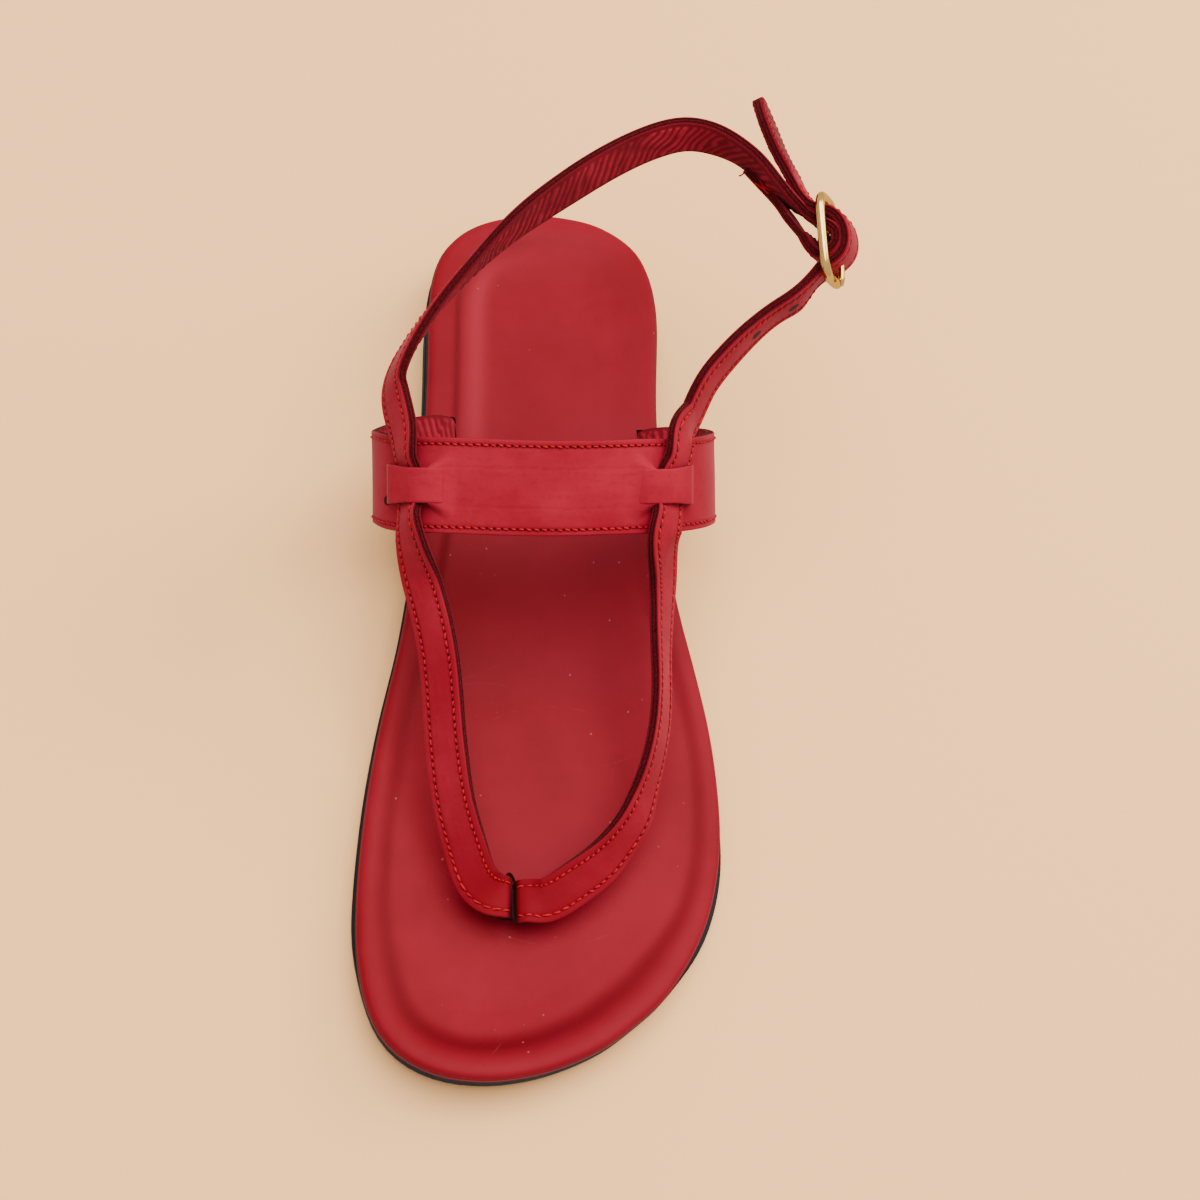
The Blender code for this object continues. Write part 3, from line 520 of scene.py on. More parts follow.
def outer_route():
    """Outer thong strap, over the band, up to the buckle, round it and out into the tail."""
    return strap_route(1, KEEPERS[1], OUTER_FORE, OUTER_CROSSING, OUTER_AFT, OVER, 5)


def lap_route():
    """Turned-back end of the chape, lying on the inside of the strap."""
    lap = round_buckle(LAP)
    return Route(*join_path([(lap, turn_normals(lap, -buckle_axes()[3], 2))]))


def keeper_rise(m):
    """Height over the band, in metres, of the leather that comes up to a keeper: a smooth step along it."""
    return KEEPER_RISE * (1 - ease(m, *KEEPER_FALL))


def keeper_route(x_share, side):
    """Bridge of band leather over a strap: out of the band, over, and back into it near the middle."""
    c, n, w, t = band_at(x_share)
    rows = list(KEEPER_OVER)
    rows += [(m, keeper_rise(m * MM) / MM + lift) for m, lift in KEEPER_DOWN]
    pts = smooth(np.array([c - side * t * m * MM + n * lift * MM for m, lift in rows]), step=STEP * 0.7)
    nor = unit(np.cross(w, np.gradient(pts, axis=0)))
    return Route(pts, nor if (nor @ n).mean() > 0 else -nor)


def band_route():
    """Instep band from its inner slot over the foot to its outer slot."""
    return Route(*band_path(330)[:2])


def new_piece(name, verts, faces, shade, fields=None, sharp=None):
    """Mesh object from arrays of corners and faces, with float fields on its corners, facing outwards."""
    mesh = bpy.data.meshes.new(name)
    mesh.from_pydata(np.asarray(verts, float).reshape(-1, 3).tolist(), [], faces)
    for key, values in (fields or {}).items():
        layer = mesh.attributes.new(key, "FLOAT", "POINT")
        layer.data.foreach_set("value", np.ascontiguousarray(values, np.float32).ravel())
    bm = bmesh.new()
    bm.from_mesh(mesh)
    bmesh.ops.remove_doubles(bm, verts=bm.verts, dist=1.5e-6)
    bmesh.ops.recalc_face_normals(bm, faces=bm.faces)
    bm.to_mesh(mesh)
    bm.free()
    mesh.polygons.foreach_set("use_smooth", np.ones(len(mesh.polygons), bool))
    if sharp:
        mesh.set_sharp_from_angle(angle=math.radians(sharp))
    mesh.materials.append(shade)
    obj = bpy.data.objects.new(name, mesh)
    bpy.context.scene.collection.objects.link(obj)
    return obj


def grid_faces(rows, columns, caps=True):
    """Quads between the rings of a grid, with a face over each end ring when caps is set."""
    i = np.arange(rows - 1)[:, None] * columns
    j = np.arange(columns)[None, :]
    k = (j + 1) % columns
    quads = np.stack([i + j, i + k, i + columns + k, i + columns + j], -1).reshape(-1, 4).tolist()
    if caps:
        quads.append(np.arange(columns)[::-1].tolist())
        quads.append((np.arange(columns) + (rows - 1) * columns).tolist())
    return quads


def section(facets, radius, groove):
    """Two-layer strap section: across = ka * half width + ca, up = kb * half thickness + cb, and its layer.

    The layer is 1 on the grain, 0 on the lining and between them on the cut edge, which has two grooves.
    """
    turn = np.radians([90, 66, 42, 20, 0])
    half = [(1.0, -radius + radius * math.cos(g), 1.0, -radius + radius * math.sin(g), 1 - 0.28 * i / 4)
            for i, g in enumerate(turn)]
    right = half + [
        (1.0, 0.0, 0.50, 0.0, 0.68), (1.0, -groove, 0.36, 0.0, 0.62), (1.0, 0.0, 0.20, 0.0, 0.56),
        (1.0, 0.0, -0.20, 0.0, 0.44), (1.0, -groove, -0.36, 0.0, 0.38), (1.0, 0.0, -0.50, 0.0, 0.32)]
    right += [(a, b, -c, -d, 1 - e) for a, b, c, d, e in half[::-1]]
    flat = np.linspace(-1, 1, facets + 2)[1:-1]
    face = [(u, -u * radius, 1.0, 0.0, 1.0) for u in flat]
    back = [(-u, u * radius, -1.0, 0.0, 0.0) for u in flat]
    left = [(-a, -b, -c, -d, 1 - e) for a, b, c, d, e in right]
    rows = np.array(face + right + back + left)
    return rows.T


def strip(name, route, width, thick, shade, relief, seed, facets=26, wave=0.00009, groove=1.0):
    """Leather strip: a two-layer section carried along a route, point = centre + a w + (b + lift) n.

    The relief's two heights raise the grain side and the lining; wave is how far the cut edges wander.
    """
    radius = sizes().edge_round
    ka, ca, kb, cb, layer = section(facets, radius, sizes().groove * groove)
    hw = np.broadcast_to(width, len(route.s))[:, None] / 2
    ht = np.broadcast_to(thick, len(route.s))[:, None] / 2
    s = route.s[:, None]
    tight = np.minimum(1.0, hw / (3 * radius))
    a = ka * hw + ca * tight
    a = a + wave * ripple(s, seed, 0.006) * np.sign(a) * ease(np.abs(a), 0.5 * hw, hw)
    b = kb * ht + cb
    face = ease(layer, 0.62, 0.98)
    back = 1 - ease(layer, 0.02, 0.38)
    level = a * hw.max() / hw
    up, down = relief(s + 0 * a, level)
    lift = face * up - back * down
    ridge = back * down / FULL_RIDGE
    rings = route.c[:, None] + route.w[:, None] * a[..., None] + route.n[:, None] * (b + lift)[..., None]
    fields = {"along": s + 0 * a, "across": level, "layer": layer + 0 * a, "ridge": ridge}
    return new_piece(name, rings, grid_faces(*rings.shape[:2]), shade, fields, sharp=48)


def bead_rows(route, offset, height, start, stop, lean, seed):
    """Corners and faces of a row of stitches: six-sided beads whose ends dive into the leather."""
    pitch = sizes().pitch
    long = pitch * STITCH_SHARE
    s0 = np.arange(start + pitch / 2, stop - pitch / 4, pitch)
    rng = np.random.default_rng(seed)
    x = np.linspace(-0.5, 0.5, 5)
    thick = np.array([0.55, 0.92, 1.0, 0.92, 0.55])
    bow = np.array([-1.0, 0.05, 0.35, 0.05, -1.0])
    tip = np.radians(lean + rng.normal(0, 6.5, len(s0)))[:, None]
    size = (1 + rng.normal(0, 0.11, len(s0)))[:, None]
    s = s0[:, None] + x * long * size * np.cos(tip)
    offset = np.interp(s, route.s, offset) if np.ndim(offset) else offset
    a = offset + x * long * size * np.sin(tip) + rng.normal(0, 0.00004, len(s0))[:, None]
    c, t, n, w = route.at(s)
    centre = c + w * a[..., None] + n * (height + bow * THREAD_DIVE)[..., None]
    turn = np.arange(6) * math.pi / 3
    r = sizes().thread * thick[None, :, None, None] * size[..., None, None]
    ring = np.cos(turn)[:, None] * w[:, :, None] + np.sin(turn)[:, None] * n[:, :, None]
    verts = centre[:, :, None] + r * ring
    ends = [[3, 2, 1, 0], [5, 4, 3, 0], [24, 25, 26, 27], [24, 27, 28, 29]]
    one = np.array(grid_faces(5, 6, caps=False) + ends)
    faces = (one[None] + (np.arange(len(s0)) * 30)[:, None, None]).reshape(-1, 4)
    return verts.reshape(-1, 3), faces


def merge_beads(name, runs, shade):
    """One object from several rows of stitches."""
    verts, faces, total = [], [], 0
    for v, f in runs:
        verts.append(v)
        faces.append(f + total)
        total += len(v)
    return new_piece(name, np.vstack(verts), np.vstack(faces).tolist(), shade, sharp=60)


def tube(name, path, radius, shade, axis, sides=20, closed=False, flat=1.0):
    """Round bar along a path: centre + r (cos a u + flat sin a v), with v as near the axis as it can be."""
    p = np.asarray(path, float)
    if closed:
        t = unit(np.roll(p, -1, axis=0) - np.roll(p, 1, axis=0))
    else:
        t = unit(np.gradient(p, axis=0))
    guide = np.asarray(axis, float)
    v = unit(guide - (t @ guide)[:, None] * t)
    u = np.cross(t, v)
    turn = np.arange(sides) * 2 * math.pi / sides
    r = np.broadcast_to(radius, len(p))[:, None, None]
    rings = p[:, None] + r * (np.cos(turn)[:, None] * u[:, None] + flat * np.sin(turn)[:, None] * v[:, None])
    if closed:
        rings = np.concatenate([rings, rings[:1]])
    return new_piece(name, rings, grid_faces(*rings.shape[:2], caps=not closed), shade, sharp=60)


def edge_loop(sides=150, ends=46):
    """Outline points paired across the middle line, and the foot of each on that line.

    Side points stand square to the line at equal shares of it; end points fan out round its two ends.
    """
    left = [(a * BALL_WIDTH, HEEL_BACK - s * LENGTH, 0.0) for s, a, b in OUTLINE]
    right = [(b * BALL_WIDTH, HEEL_BACK - s * LENGTH, 0.0) for s, a, b in OUTLINE]
    loop = smooth(left + right[::-1], count=3000, closed=True)[:, :2]
    a, b = (np.array([x * BALL_WIDTH, HEEL_BACK - s * LENGTH]) for x, s in (MIDDLE_HEEL, MIDDLE_TOE))
    axis = (b - a) / np.linalg.norm(b - a)
    square = np.array([-axis[1], axis[0]])
    t = ((loop - a) @ axis) / np.linalg.norm(b - a)
    side = (loop - a) @ square
    share = (np.arange(sides) + 0.5) / sides

    def flank(sign):
        """Points of one side, at equal shares of the middle line."""
        keep = (t > -0.02) & (t < 1.02) & (side * sign > 0)
        order = np.argsort(t[keep])
        q, tt = loop[keep][order], t[keep][order]
        return np.stack([np.interp(share, tt, q[:, i]) for i in range(2)], -1)

    def fan(foot, sign):
        """Points round one end, at equal angles about its foot."""
        away = loop - foot
        angle = np.arctan2(away @ square, away @ axis * sign)
        keep = away @ axis * sign > -0.004
        order = np.argsort(angle[keep])
        q, g = loop[keep][order], angle[keep][order]
        want = np.linspace(-math.pi / 2, math.pi / 2, ends + 2)[1:-1]
        return np.stack([np.interp(want, g, q[:, i]) for i in range(2)], -1)

    feet = a + share[:, None] * (b - a)
    one, two = flank(1), flank(-1)
    toe, heel = fan(b, 1), fan(a, -1)
    ring = np.vstack([one, toe[::-1], two[::-1], heel])
    spine = np.vstack([feet, np.repeat(b[None], ends, 0), feet[::-1], np.repeat(a[None], ends, 0)])
    return ring, spine


def slab(name, rows, shade, fields=None, loop=None, caps=False):
    """Rings worked inwards from an outline, one for each row.

    A row is "in" with an inset in metres, or "share" with a share of the way in, then the height function.
    """
    ring, spine = loop or edge_loop()
    far = np.linalg.norm(spine - ring, axis=1)
    rings, insets = [], []
    for kind, amount, height in rows:
        inset = np.minimum(amount, far) if kind == "in" else far * amount
        q = ring + unit(spine - ring) * inset[:, None]
        rings.append(np.column_stack([q, height(q, inset)]))
        insets.append(inset)
    rings, insets = np.array(rings), np.array(insets)
    extra = fields(rings, insets) if fields else None
    return new_piece(name, rings, grid_faces(*rings.shape[:2], caps=caps), shade, extra, sharp=40)


def cut(obj, verts, faces, name):
    """Take a closed cutter out of a piece and keep the result as its mesh."""
    mesh = bpy.data.meshes.new(name)
    mesh.from_pydata(np.asarray(verts).reshape(-1, 3).tolist(), [], faces)
    tool = bpy.data.objects.new(name, mesh)
    bpy.context.scene.collection.objects.link(tool)
    bm = bmesh.new()
    bm.from_mesh(mesh)
    bmesh.ops.recalc_face_normals(bm, faces=bm.faces)
    bm.to_mesh(mesh)
    bm.free()
    mod = obj.modifiers.new(name, "BOOLEAN")
    mod.operation = "DIFFERENCE"
    mod.solver = "EXACT"
    mod.object = tool
    graph = bpy.context.evaluated_depsgraph_get()
    old = obj.data
    obj.data = bpy.data.meshes.new_from_object(obj.evaluated_get(graph))
    obj.modifiers.clear()
    obj.data.name = old.name
    bpy.data.objects.remove(tool)


class Wire:
    """A shader socket in an expression: + - * / and ** add Math nodes, also with a number on the left."""

    def __init__(self, tree, socket):
        self.tree, self.socket = tree, socket

    def math(self, operation, *values):
        """Any Math node on the given wires and numbers."""
        node = self.tree.nodes.new("ShaderNodeMath")
        node.operation = operation
        for slot, value in zip(node.inputs, values):
            if isinstance(value, Wire):
                self.tree.links.new(value.socket, slot)
            else:
                slot.default_value = value
        return Wire(self.tree, node.outputs[0])

    def __add__(self, other):
        return self.math("ADD", self, other)

    def __radd__(self, other):
        return self.math("ADD", other, self)

    def __sub__(self, other):
        return self.math("SUBTRACT", self, other)

    def __rsub__(self, other):
        return self.math("SUBTRACT", other, self)

    def __mul__(self, other):
        return self.math("MULTIPLY", self, other)

    def __rmul__(self, other):
        return self.math("MULTIPLY", other, self)

    def __truediv__(self, other):
        return self.math("DIVIDE", self, other)

    def __rtruediv__(self, other):
        return self.math("DIVIDE", other, self)

    def __pow__(self, other):
        return self.math("POWER", self, other)

    def size(self):
        """Absolute value."""
        return self.math("ABSOLUTE", self)

    def step(self, lo, hi):
        """Smooth step from 0 at lo to 1 at hi; hi may be below lo."""
        node = self.tree.nodes.new("ShaderNodeMapRange")
        node.interpolation_type = "SMOOTHSTEP"
        self.tree.links.new(self.socket, node.inputs["Value"])
        flip = hi < lo
        node.inputs["From Min"].default_value = min(lo, hi)
        node.inputs["From Max"].default_value = max(lo, hi)
        node.inputs["To Min"].default_value = 1.0 if flip else 0.0
        node.inputs["To Max"].default_value = 0.0 if flip else 1.0
        return Wire(self.tree, node.outputs["Result"])


class Shade:
    """Node tree of one finish; constants are set on the shader's own sockets."""

    def __init__(self, name, **constants):
        self.material = bpy.data.materials.new(name)
        self.material.use_nodes = True
        self.tree = self.material.node_tree
        self.shader = self.tree.nodes["Principled BSDF"]
        for key, value in constants.items():
            self.shader.inputs[key.replace("_", " ")].default_value = value

    def node(self, kind, settings=None, sockets=None, out=0):
        """Adds a node, sets its settings first and then its sockets, and returns one output."""
        node = self.tree.nodes.new(kind)
        for key, value in (settings or {}).items():
            setattr(node, key, value)
        for key, value in (sockets or {}).items():
            if isinstance(value, Wire):
                self.tree.links.new(value.socket, node.inputs[key])
            else:
                node.inputs[key].default_value = value
        return Wire(self.tree, node.outputs[out])

    def place(self):
        """Object coordinates."""
        return self.node("ShaderNodeTexCoord", out="Object")

    def axis(self, index):
        """One of the object coordinates as a value in metres."""
        return self.node("ShaderNodeSeparateXYZ", sockets={0: self.place()}, out=index)

    def field(self, name):
        """Float field stored on the mesh."""
        return self.node("ShaderNodeAttribute", {"attribute_name": name}, out="Fac")

    def noise(self, scale, detail=3.0, rough=0.55, vector=None):
        """Noise about 0.5 at the given scale per metre."""
        sockets = {"Vector": vector or self.place(), "Scale": scale, "Detail": detail, "Roughness": rough}
        return self.node("ShaderNodeTexNoise", None, sockets)

    def cells(self, scale, feature="F1"):
        """Distance in a cell pattern at the given scale per metre."""
        sockets = {"Vector": self.place(), "Scale": scale}
        return self.node("ShaderNodeTexVoronoi", {"feature": feature}, sockets)

    def joined(self, x, y, z=0.0):
        """Vector from values or numbers."""
        return self.node("ShaderNodeCombineXYZ", None, {0: x, 1: y, 2: z})

    def mix(self, factor, a, b):
        """Colour mix of a towards b."""
        a, b = [(*v, 1.0) if isinstance(v, tuple) and len(v) == 3 else v for v in (a, b)]
        return self.node("ShaderNodeMix", {"data_type": "RGBA"}, {0: factor, 6: a, 7: b}, 2)

    def bump(self, height, distance, strength=1.0, under=None):
        """Bump of a height between 0 and 1, standing the given distance in metres."""
        sockets = {"Height": height, "Distance": distance, "Strength": strength}
        if under:
            sockets["Normal"] = under
        return self.node("ShaderNodeBump", None, sockets)

    def set(self, **wires):
        """Links what varies over the surface to the shader."""
        for key, wire in wires.items():
            self.tree.links.new(wire.socket, self.shader.inputs[key.replace("_", " ")])
        return self.material


def tint(colour, factor):
    """Colour times a factor, as a plain tuple."""
    if isinstance(factor, (int, float)):
        factor = (factor,) * 3
    return tuple(max(0.0, min(1.0, c * f)) for c, f in zip(colour, factor))


def shade_strap(name, colours, row, pitch, holes=(), fold_highlight=None, tail=None, toe=False):
    """Grain leather on the face, felted cut edges and wrinkled lining, with needle pits beside the thread;
    pits, holes and pleat troughs get painted shade, pleat crests a painted highlight.

    Holes are (along, across, radius) in metres; fold_highlight is the place along a bend that gets a painted
    highlight; from tail on, the face is felted like its edge; toe paints shade on the first part, which leans
    away from the light, and on its cut edges near the toe.
    """
    grain = tint(colours.leather, (1.36, 2.1, 1.9))
    felt_tone = colours.raw_edge
    sheen = {"Sheen_Weight": 0.10, "Sheen_Roughness": 0.45, "Sheen_Tint": (1.0, 0.30, 0.30, 1.0)}
    m = Shade(name, Specular_IOR_Level=0.018, **sheen)
    along, across, layer, ridge = (m.field(k) for k in ("along", "across", "layer", "ridge"))
    cloudy = m.noise(46.0, 4.0, 0.6)
    fine = m.noise(900.0, 3.0, 0.6)
    streak = m.noise(1.0, 3.0, 0.6, m.joined(along * 90.0, across * 700.0))
    face = m.mix(cloudy.step(0.30, 0.72), tint(grain, (0.84, 0.70, 0.78)), tint(grain, (1.12, 1.5, 1.4)))
    face = m.mix((streak * fine).step(0.22, 0.42) * 0.30, face, tint(grain, (0.72, 0.6, 0.65)))
    past_row = across.size() - row
    gone = past_row.size()
    face = m.mix(gone.step(0.0011, 0.0001) * 0.45, face, tint(grain, (0.55, 0.40, 0.5)))
    face = m.mix(past_row.step(0.0009, 0.0018) * 0.5, face, tint(grain, (0.80, 0.7, 0.7)))
    stitch = along / pitch
    beat = stitch.math("FRACT", stitch)
    near_end = (0.5 - (beat - 0.5).size()) * pitch
    pits = near_end.step(0.00046, 0.00014) * gone.step(0.00050, 0.00016) * layer.step(0.9, 0.98)
    # painted shade: near-black dots where the thread dives into its needle holes
    face = m.mix(pits * 0.92, face, PIT_SHADE)
    # painted shade on the face of the strap's first part, which leans away from the light
    if toe:
        face = m.mix(along.step(0.058, 0.016) * 0.85, face, tint(grain, (0.56, 0.30, 0.36)))
    # painted highlight: a lighter line across the keeper's sharp fold
    if fold_highlight:
        face = m.mix((along - fold_highlight).size().step(0.0012, 0.0001) * 0.55, face, FOLD_HIGHLIGHT)
    felt = m.noise(2400.0, 4.0, 0.75)
    if tail:
        ragged = m.mix(felt.step(0.35, 0.7), tint(felt_tone, 1.0), tint(grain, (0.95, 0.45, 0.55)))
        face = m.mix(along.step(tail, tail + 0.006), face, ragged)
    edge = m.mix(felt.step(0.32, 0.72), tint(felt_tone, 0.35), tint(felt_tone, (2.1, 1.7, 1.8)))
    upper_ply = layer.step(0.585, 0.61) * layer.step(0.655, 0.63)
    lower_ply = layer.step(0.345, 0.37) * layer.step(0.415, 0.39)
    edge = m.mix((upper_ply + lower_ply) * 0.85, edge, tint(felt_tone, 0.14))
    edge = m.mix((layer.step(0.68, 0.74) + layer.step(0.32, 0.26)) * 0.7, edge, tint(grain, (0.60, 0.5, 0.6)))
    # painted shade on the cut edges of the strap's lower part near the toe
    if toe:
        edge = m.mix(along.step(0.0150, 0.0110), edge, tint(felt_tone, 0.12))
    worn = m.noise(90.0, 3.0).step(0.25, 0.8)
    lining = m.mix(worn, tint(colours.lining, 0.75), tint(colours.lining, (1.35, 1.5, 1.4)))
    highlight_breakup = m.noise(420.0, 3.0, 0.65)
    # painted shade in the troughs of the lining's pleats and painted highlight on their crests, broken up by
    # noise
    lining = m.mix(ridge.step(0.05, 0.95), m.mix(0.62, lining, tint(felt_tone, 1.2)), lining)
    crest_highlight = ridge.step(0.8, 1.4) * highlight_breakup.step(0.42, 0.6)
    lining = m.mix(crest_highlight * 0.55, lining, tint(grain, (1.3, 2.4, 2.2)))
    colour = m.mix(layer.step(0.72, 0.86), edge, face)
    colour = m.mix(layer.step(0.20, 0.10), colour, lining)
    bump = m.bump(m.cells(1500.0, "SMOOTH_F1") * 0.6 + fine * 0.5, 0.00005, 0.55)
    bump = m.bump(cloudy * 0.5 + streak * 0.5, 0.00012, 0.5, bump)
    bump = m.bump(felt * layer.step(0.80, 0.70) * layer.step(0.02, 0.1), 0.00040, 1.0, bump)
    # painted shade: the legs go near-black below the toe seam, where they drop into the gap of the toe slot
    if toe:
        colour = m.mix(along.step(0.0125, 0.0112), colour, TOE_GAP_SHADE)
    # painted shade: dark discs stand in for the shadowed inside of the holes
    for spot, off, reach in holes:
        ring = (((along - spot) * 0.8) ** 2.0 + (across - off) ** 2.0) ** 0.5
        inside = ring.step(reach + 0.00016, reach - 0.00006) * layer.step(0.5, 0.9)
        colour = m.mix(inside, colour, HOLE_SHADE)
    rough = 0.40 + cloudy * 0.12 + layer.step(0.86, 0.72) * 0.35 + layer.step(0.2, 0.1) * -0.10
    return m.set(Base_Color=colour, Roughness=rough, Normal=bump)


def shade_footbed(name, colours):
    """Deep red leather drawn over a moulded bed: painted shade in the creases, a pale painted highlight
    beside the heel's step, pale scuffs and specks, black foot.
    """
    grain = tuple(colours.leather)
    m = Shade(name, Specular_IOR_Level=0.055)
    wall, crease_shade = m.field("wall"), m.field("crease_shade")
    cloudy = m.noise(22.0, 5.0, 0.62)
    fine = m.noise(1000.0, 3.0, 0.6)
    patch = m.noise(9.0, 2.0, 0.5)
    skin = m.mix(cloudy.step(0.30, 0.72), tint(grain, (0.90, 0.82, 0.85)), tint(grain, (1.12, 1.55, 1.5)))
    skin = m.mix(patch.step(0.35, 0.7) * 0.35, skin, tint(grain, (0.86, 1.3, 1.3)))
    # painted shade along the foot of the moulded step
    skin = m.mix(crease_shade * 0.80, skin, tint(grain, (0.54, 0.32, 0.44)))
    # painted highlight: pale stripe on the slope beside the heel's step
    skin = m.mix(m.field("heel_highlight") * 0.8, skin, tint(grain, (1.45, 4.2, 2.9)))
    specks = m.cells(210.0).step(0.075, 0.035) * m.noise(300.0, 1.0).step(0.50, 0.58)
    skin = m.mix(specks * 0.5, skin, SPECK)
    x, y = m.axis(0), m.axis(1)
    for cx, cy, radius, low, high in SCRATCHES:
        ring = (((x - cx) ** 2.0 + (y - cy) ** 2.0) ** 0.5 - radius).size()
        line = ring.step(0.00016, 0.00002) * x.step(low, low + 0.004) * x.step(high, high - 0.004)
        skin = m.mix(line * m.noise(260.0, 2.0).step(0.45, 0.65) * 0.14, skin, SCUFF)
    black = m.mix(m.noise(400.0, 3.0), tint(colours.rubber, 0.7), tint(colours.rubber, 1.8))
    colour = m.mix(wall, skin, black)
    bump = m.bump(m.cells(1300.0, "SMOOTH_F1") * 0.6 + fine * 0.5, 0.00005, 0.5)
    bump = m.bump(cloudy, 0.0005, 0.35, bump)
    rough = 0.43 + cloudy * 0.10 + wall * 0.15 + specks * 0.2
    return m.set(Base_Color=colour, Roughness=rough, Normal=bump)


def shade_rubber(name, colours, tone=1.0, layers=False):
    """Matt black sheet with a fine pebble and dusty mottling."""
    m = Shade(name, Specular_IOR_Level=0.15)
    dust = m.noise(60.0, 4.0, 0.65)
    colour = m.mix(dust.step(0.35, 0.75), tint(colours.rubber, 0.8 * tone), tint(colours.rubber, 1.9 * tone))
    grit = m.noise(1600.0, 3.0, 0.7)
    if layers:
        lines = m.noise(1.0, 2.0, 0.6, m.joined(m.axis(0) * 30.0, m.axis(1) * 30.0, m.axis(2) * 1800.0))
        grit = grit * 0.5 + lines * 0.6
    return m.set(Base_Color=colour, Roughness=0.48 + dust * 0.25, Normal=m.bump(grit, 0.00008, 0.6))


def shade_thread(name, colour):
    """Waxed thread with twisted plies."""
    m = Shade(name, Specular_IOR_Level=0.12)
    ply = m.noise(1500.0, 2.0, 0.6)
    tone = m.mix(ply.step(0.3, 0.7), tint(colour, (0.72, 0.55, 0.6)), tint(colour, (1.12, 2.2, 2.0)))
    return m.set(Base_Color=tone, Roughness=0.42 + ply * 0.2, Normal=m.bump(ply, 0.00008, 0.8))


def shade_metal(name, colour):
    """Polished pale gold with fine rubbing marks."""
    m = Shade(name, Metallic=1.0, Specular_Tint=(0.85, 0.66, 0.40, 1.0))
    haze = m.noise(260.0, 4.0, 0.6)
    rub = m.noise(2400.0, 2.0, 0.6, m.joined(m.axis(0), m.axis(1) * 0.15, m.axis(2)))
    tone = m.mix(haze.step(0.3, 0.8), tint(colour, 1.0), tint(colour, (0.90, 0.84, 0.74)))
    return m.set(Base_Color=tone, Roughness=0.13 + haze * 0.10, Normal=m.bump(rub, 0.00001, 0.4))


def shade_floor(name, colour):
    """Plain matt backdrop with the faintest cloud in it, and a greyer tone for the light that it bounces."""
    m = Shade(name, Specular_IOR_Level=0.10)
    cloud = m.noise(2.5, 2.0)
    seen = m.mix(cloud, tint(colour, 0.99), tint(colour, 1.02))
    straight = m.node("ShaderNodeLightPath", out="Is Camera Ray")
    return m.set(Base_Color=m.mix(straight, BOUNCE, seen), Roughness=0.85 + cloud * 0.05)


def sizes():
    """The scene's sizes."""
    return bpy.context.scene.sandal_sizes


def colours():
    """The scene's colours."""
    return bpy.context.scene.sandal_colours


def claim(obj, slot, *nodes):
    """Rides on the body and stands for its solids, which it hides; slot is not used."""
    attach(obj, "root")
    if nodes:
        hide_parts(*nodes)
    return obj


def sewn(row, pitch, depth=0.00017, crown=0.00012):
    """Relief of the grain side: troughs along both stitch rows, pinched at every stitch, and a low crown."""
    def relief(s, a):
        off = np.abs(a) - row
        pull = 0.78 + 0.22 * np.cos(2 * math.pi * s / pitch)
        return -depth * pull * np.exp(-(off / 0.0005) ** 2) + crown * (1 - (a / row) ** 2) * (off < 0)
    return relief


def pleats(s, a, half, settings):
    """Slanting ridges of gathered lining: a sharpened sine along s + slant a, faded at the margins."""
    pitch, slant, depth, margin, seed = settings
    reach = half - margin
    wander = 0.0011 * ripple(s + a, seed, 0.0045) + 0.0005 * ripple(a - s, seed + 1, 0.0011)
    swing = 1.6 * ripple(s, seed + 3, 0.006) + 0.9 * ripple(a - 0.6 * s, seed + 4, 0.0021)
    phase = (s + slant * a + wander) / pitch
    wave = 0.5 + 0.5 * np.sin(2 * math.pi * phase + swing)
    fade = 1 - ease(np.abs(a), reach * 0.90, reach)
    uneven = 0.60 + 0.30 * ripple(s, seed + 5, 0.008) + 0.22 * ripple(s + 2 * a, seed + 6, 0.0031)
    return depth * wave ** 1.3 * fade * uneven


def share_of(q):
    """Share of LENGTH at plan points."""
    return (HEEL_BACK - q[:, 1]) / LENGTH


def bowl(q):
    """Step tables with their weights at plan points: inner left of the middle line, outer right of it."""
    middle = (MIDDLE_HEEL[0] - MIDDLE_SLOPE * (share_of(q) - MIDDLE_HEEL[1])) * BALL_WIDTH
    outer = ease(q[:, 0] - middle, -0.012, 0.012)
    return (STEP_INNER, 1 - outer), (STEP_OUTER, outer)


def pinched(route, keeper):
    """Share of full width along a strap.

    It is squeezed under its keeper, narrow where it goes down between the toes, and round at the tail's end.
    """
    name, x_share, skew, side = keeper
    under = route.find(band_at(x_share)[0])
    tight = 0.25 if side < 0 else 0.10
    share = 1 - tight * np.exp(-((route.s - under) / 0.011) ** 4)
    share = share - 0.42 * (1 - ease(route.s, 0.0068, 0.0120))
    left = route.s[-1] - route.s
    return share if side < 0 else share * (0.22 + 0.78 * np.sqrt(np.clip(left / 0.008, 0, 1)))


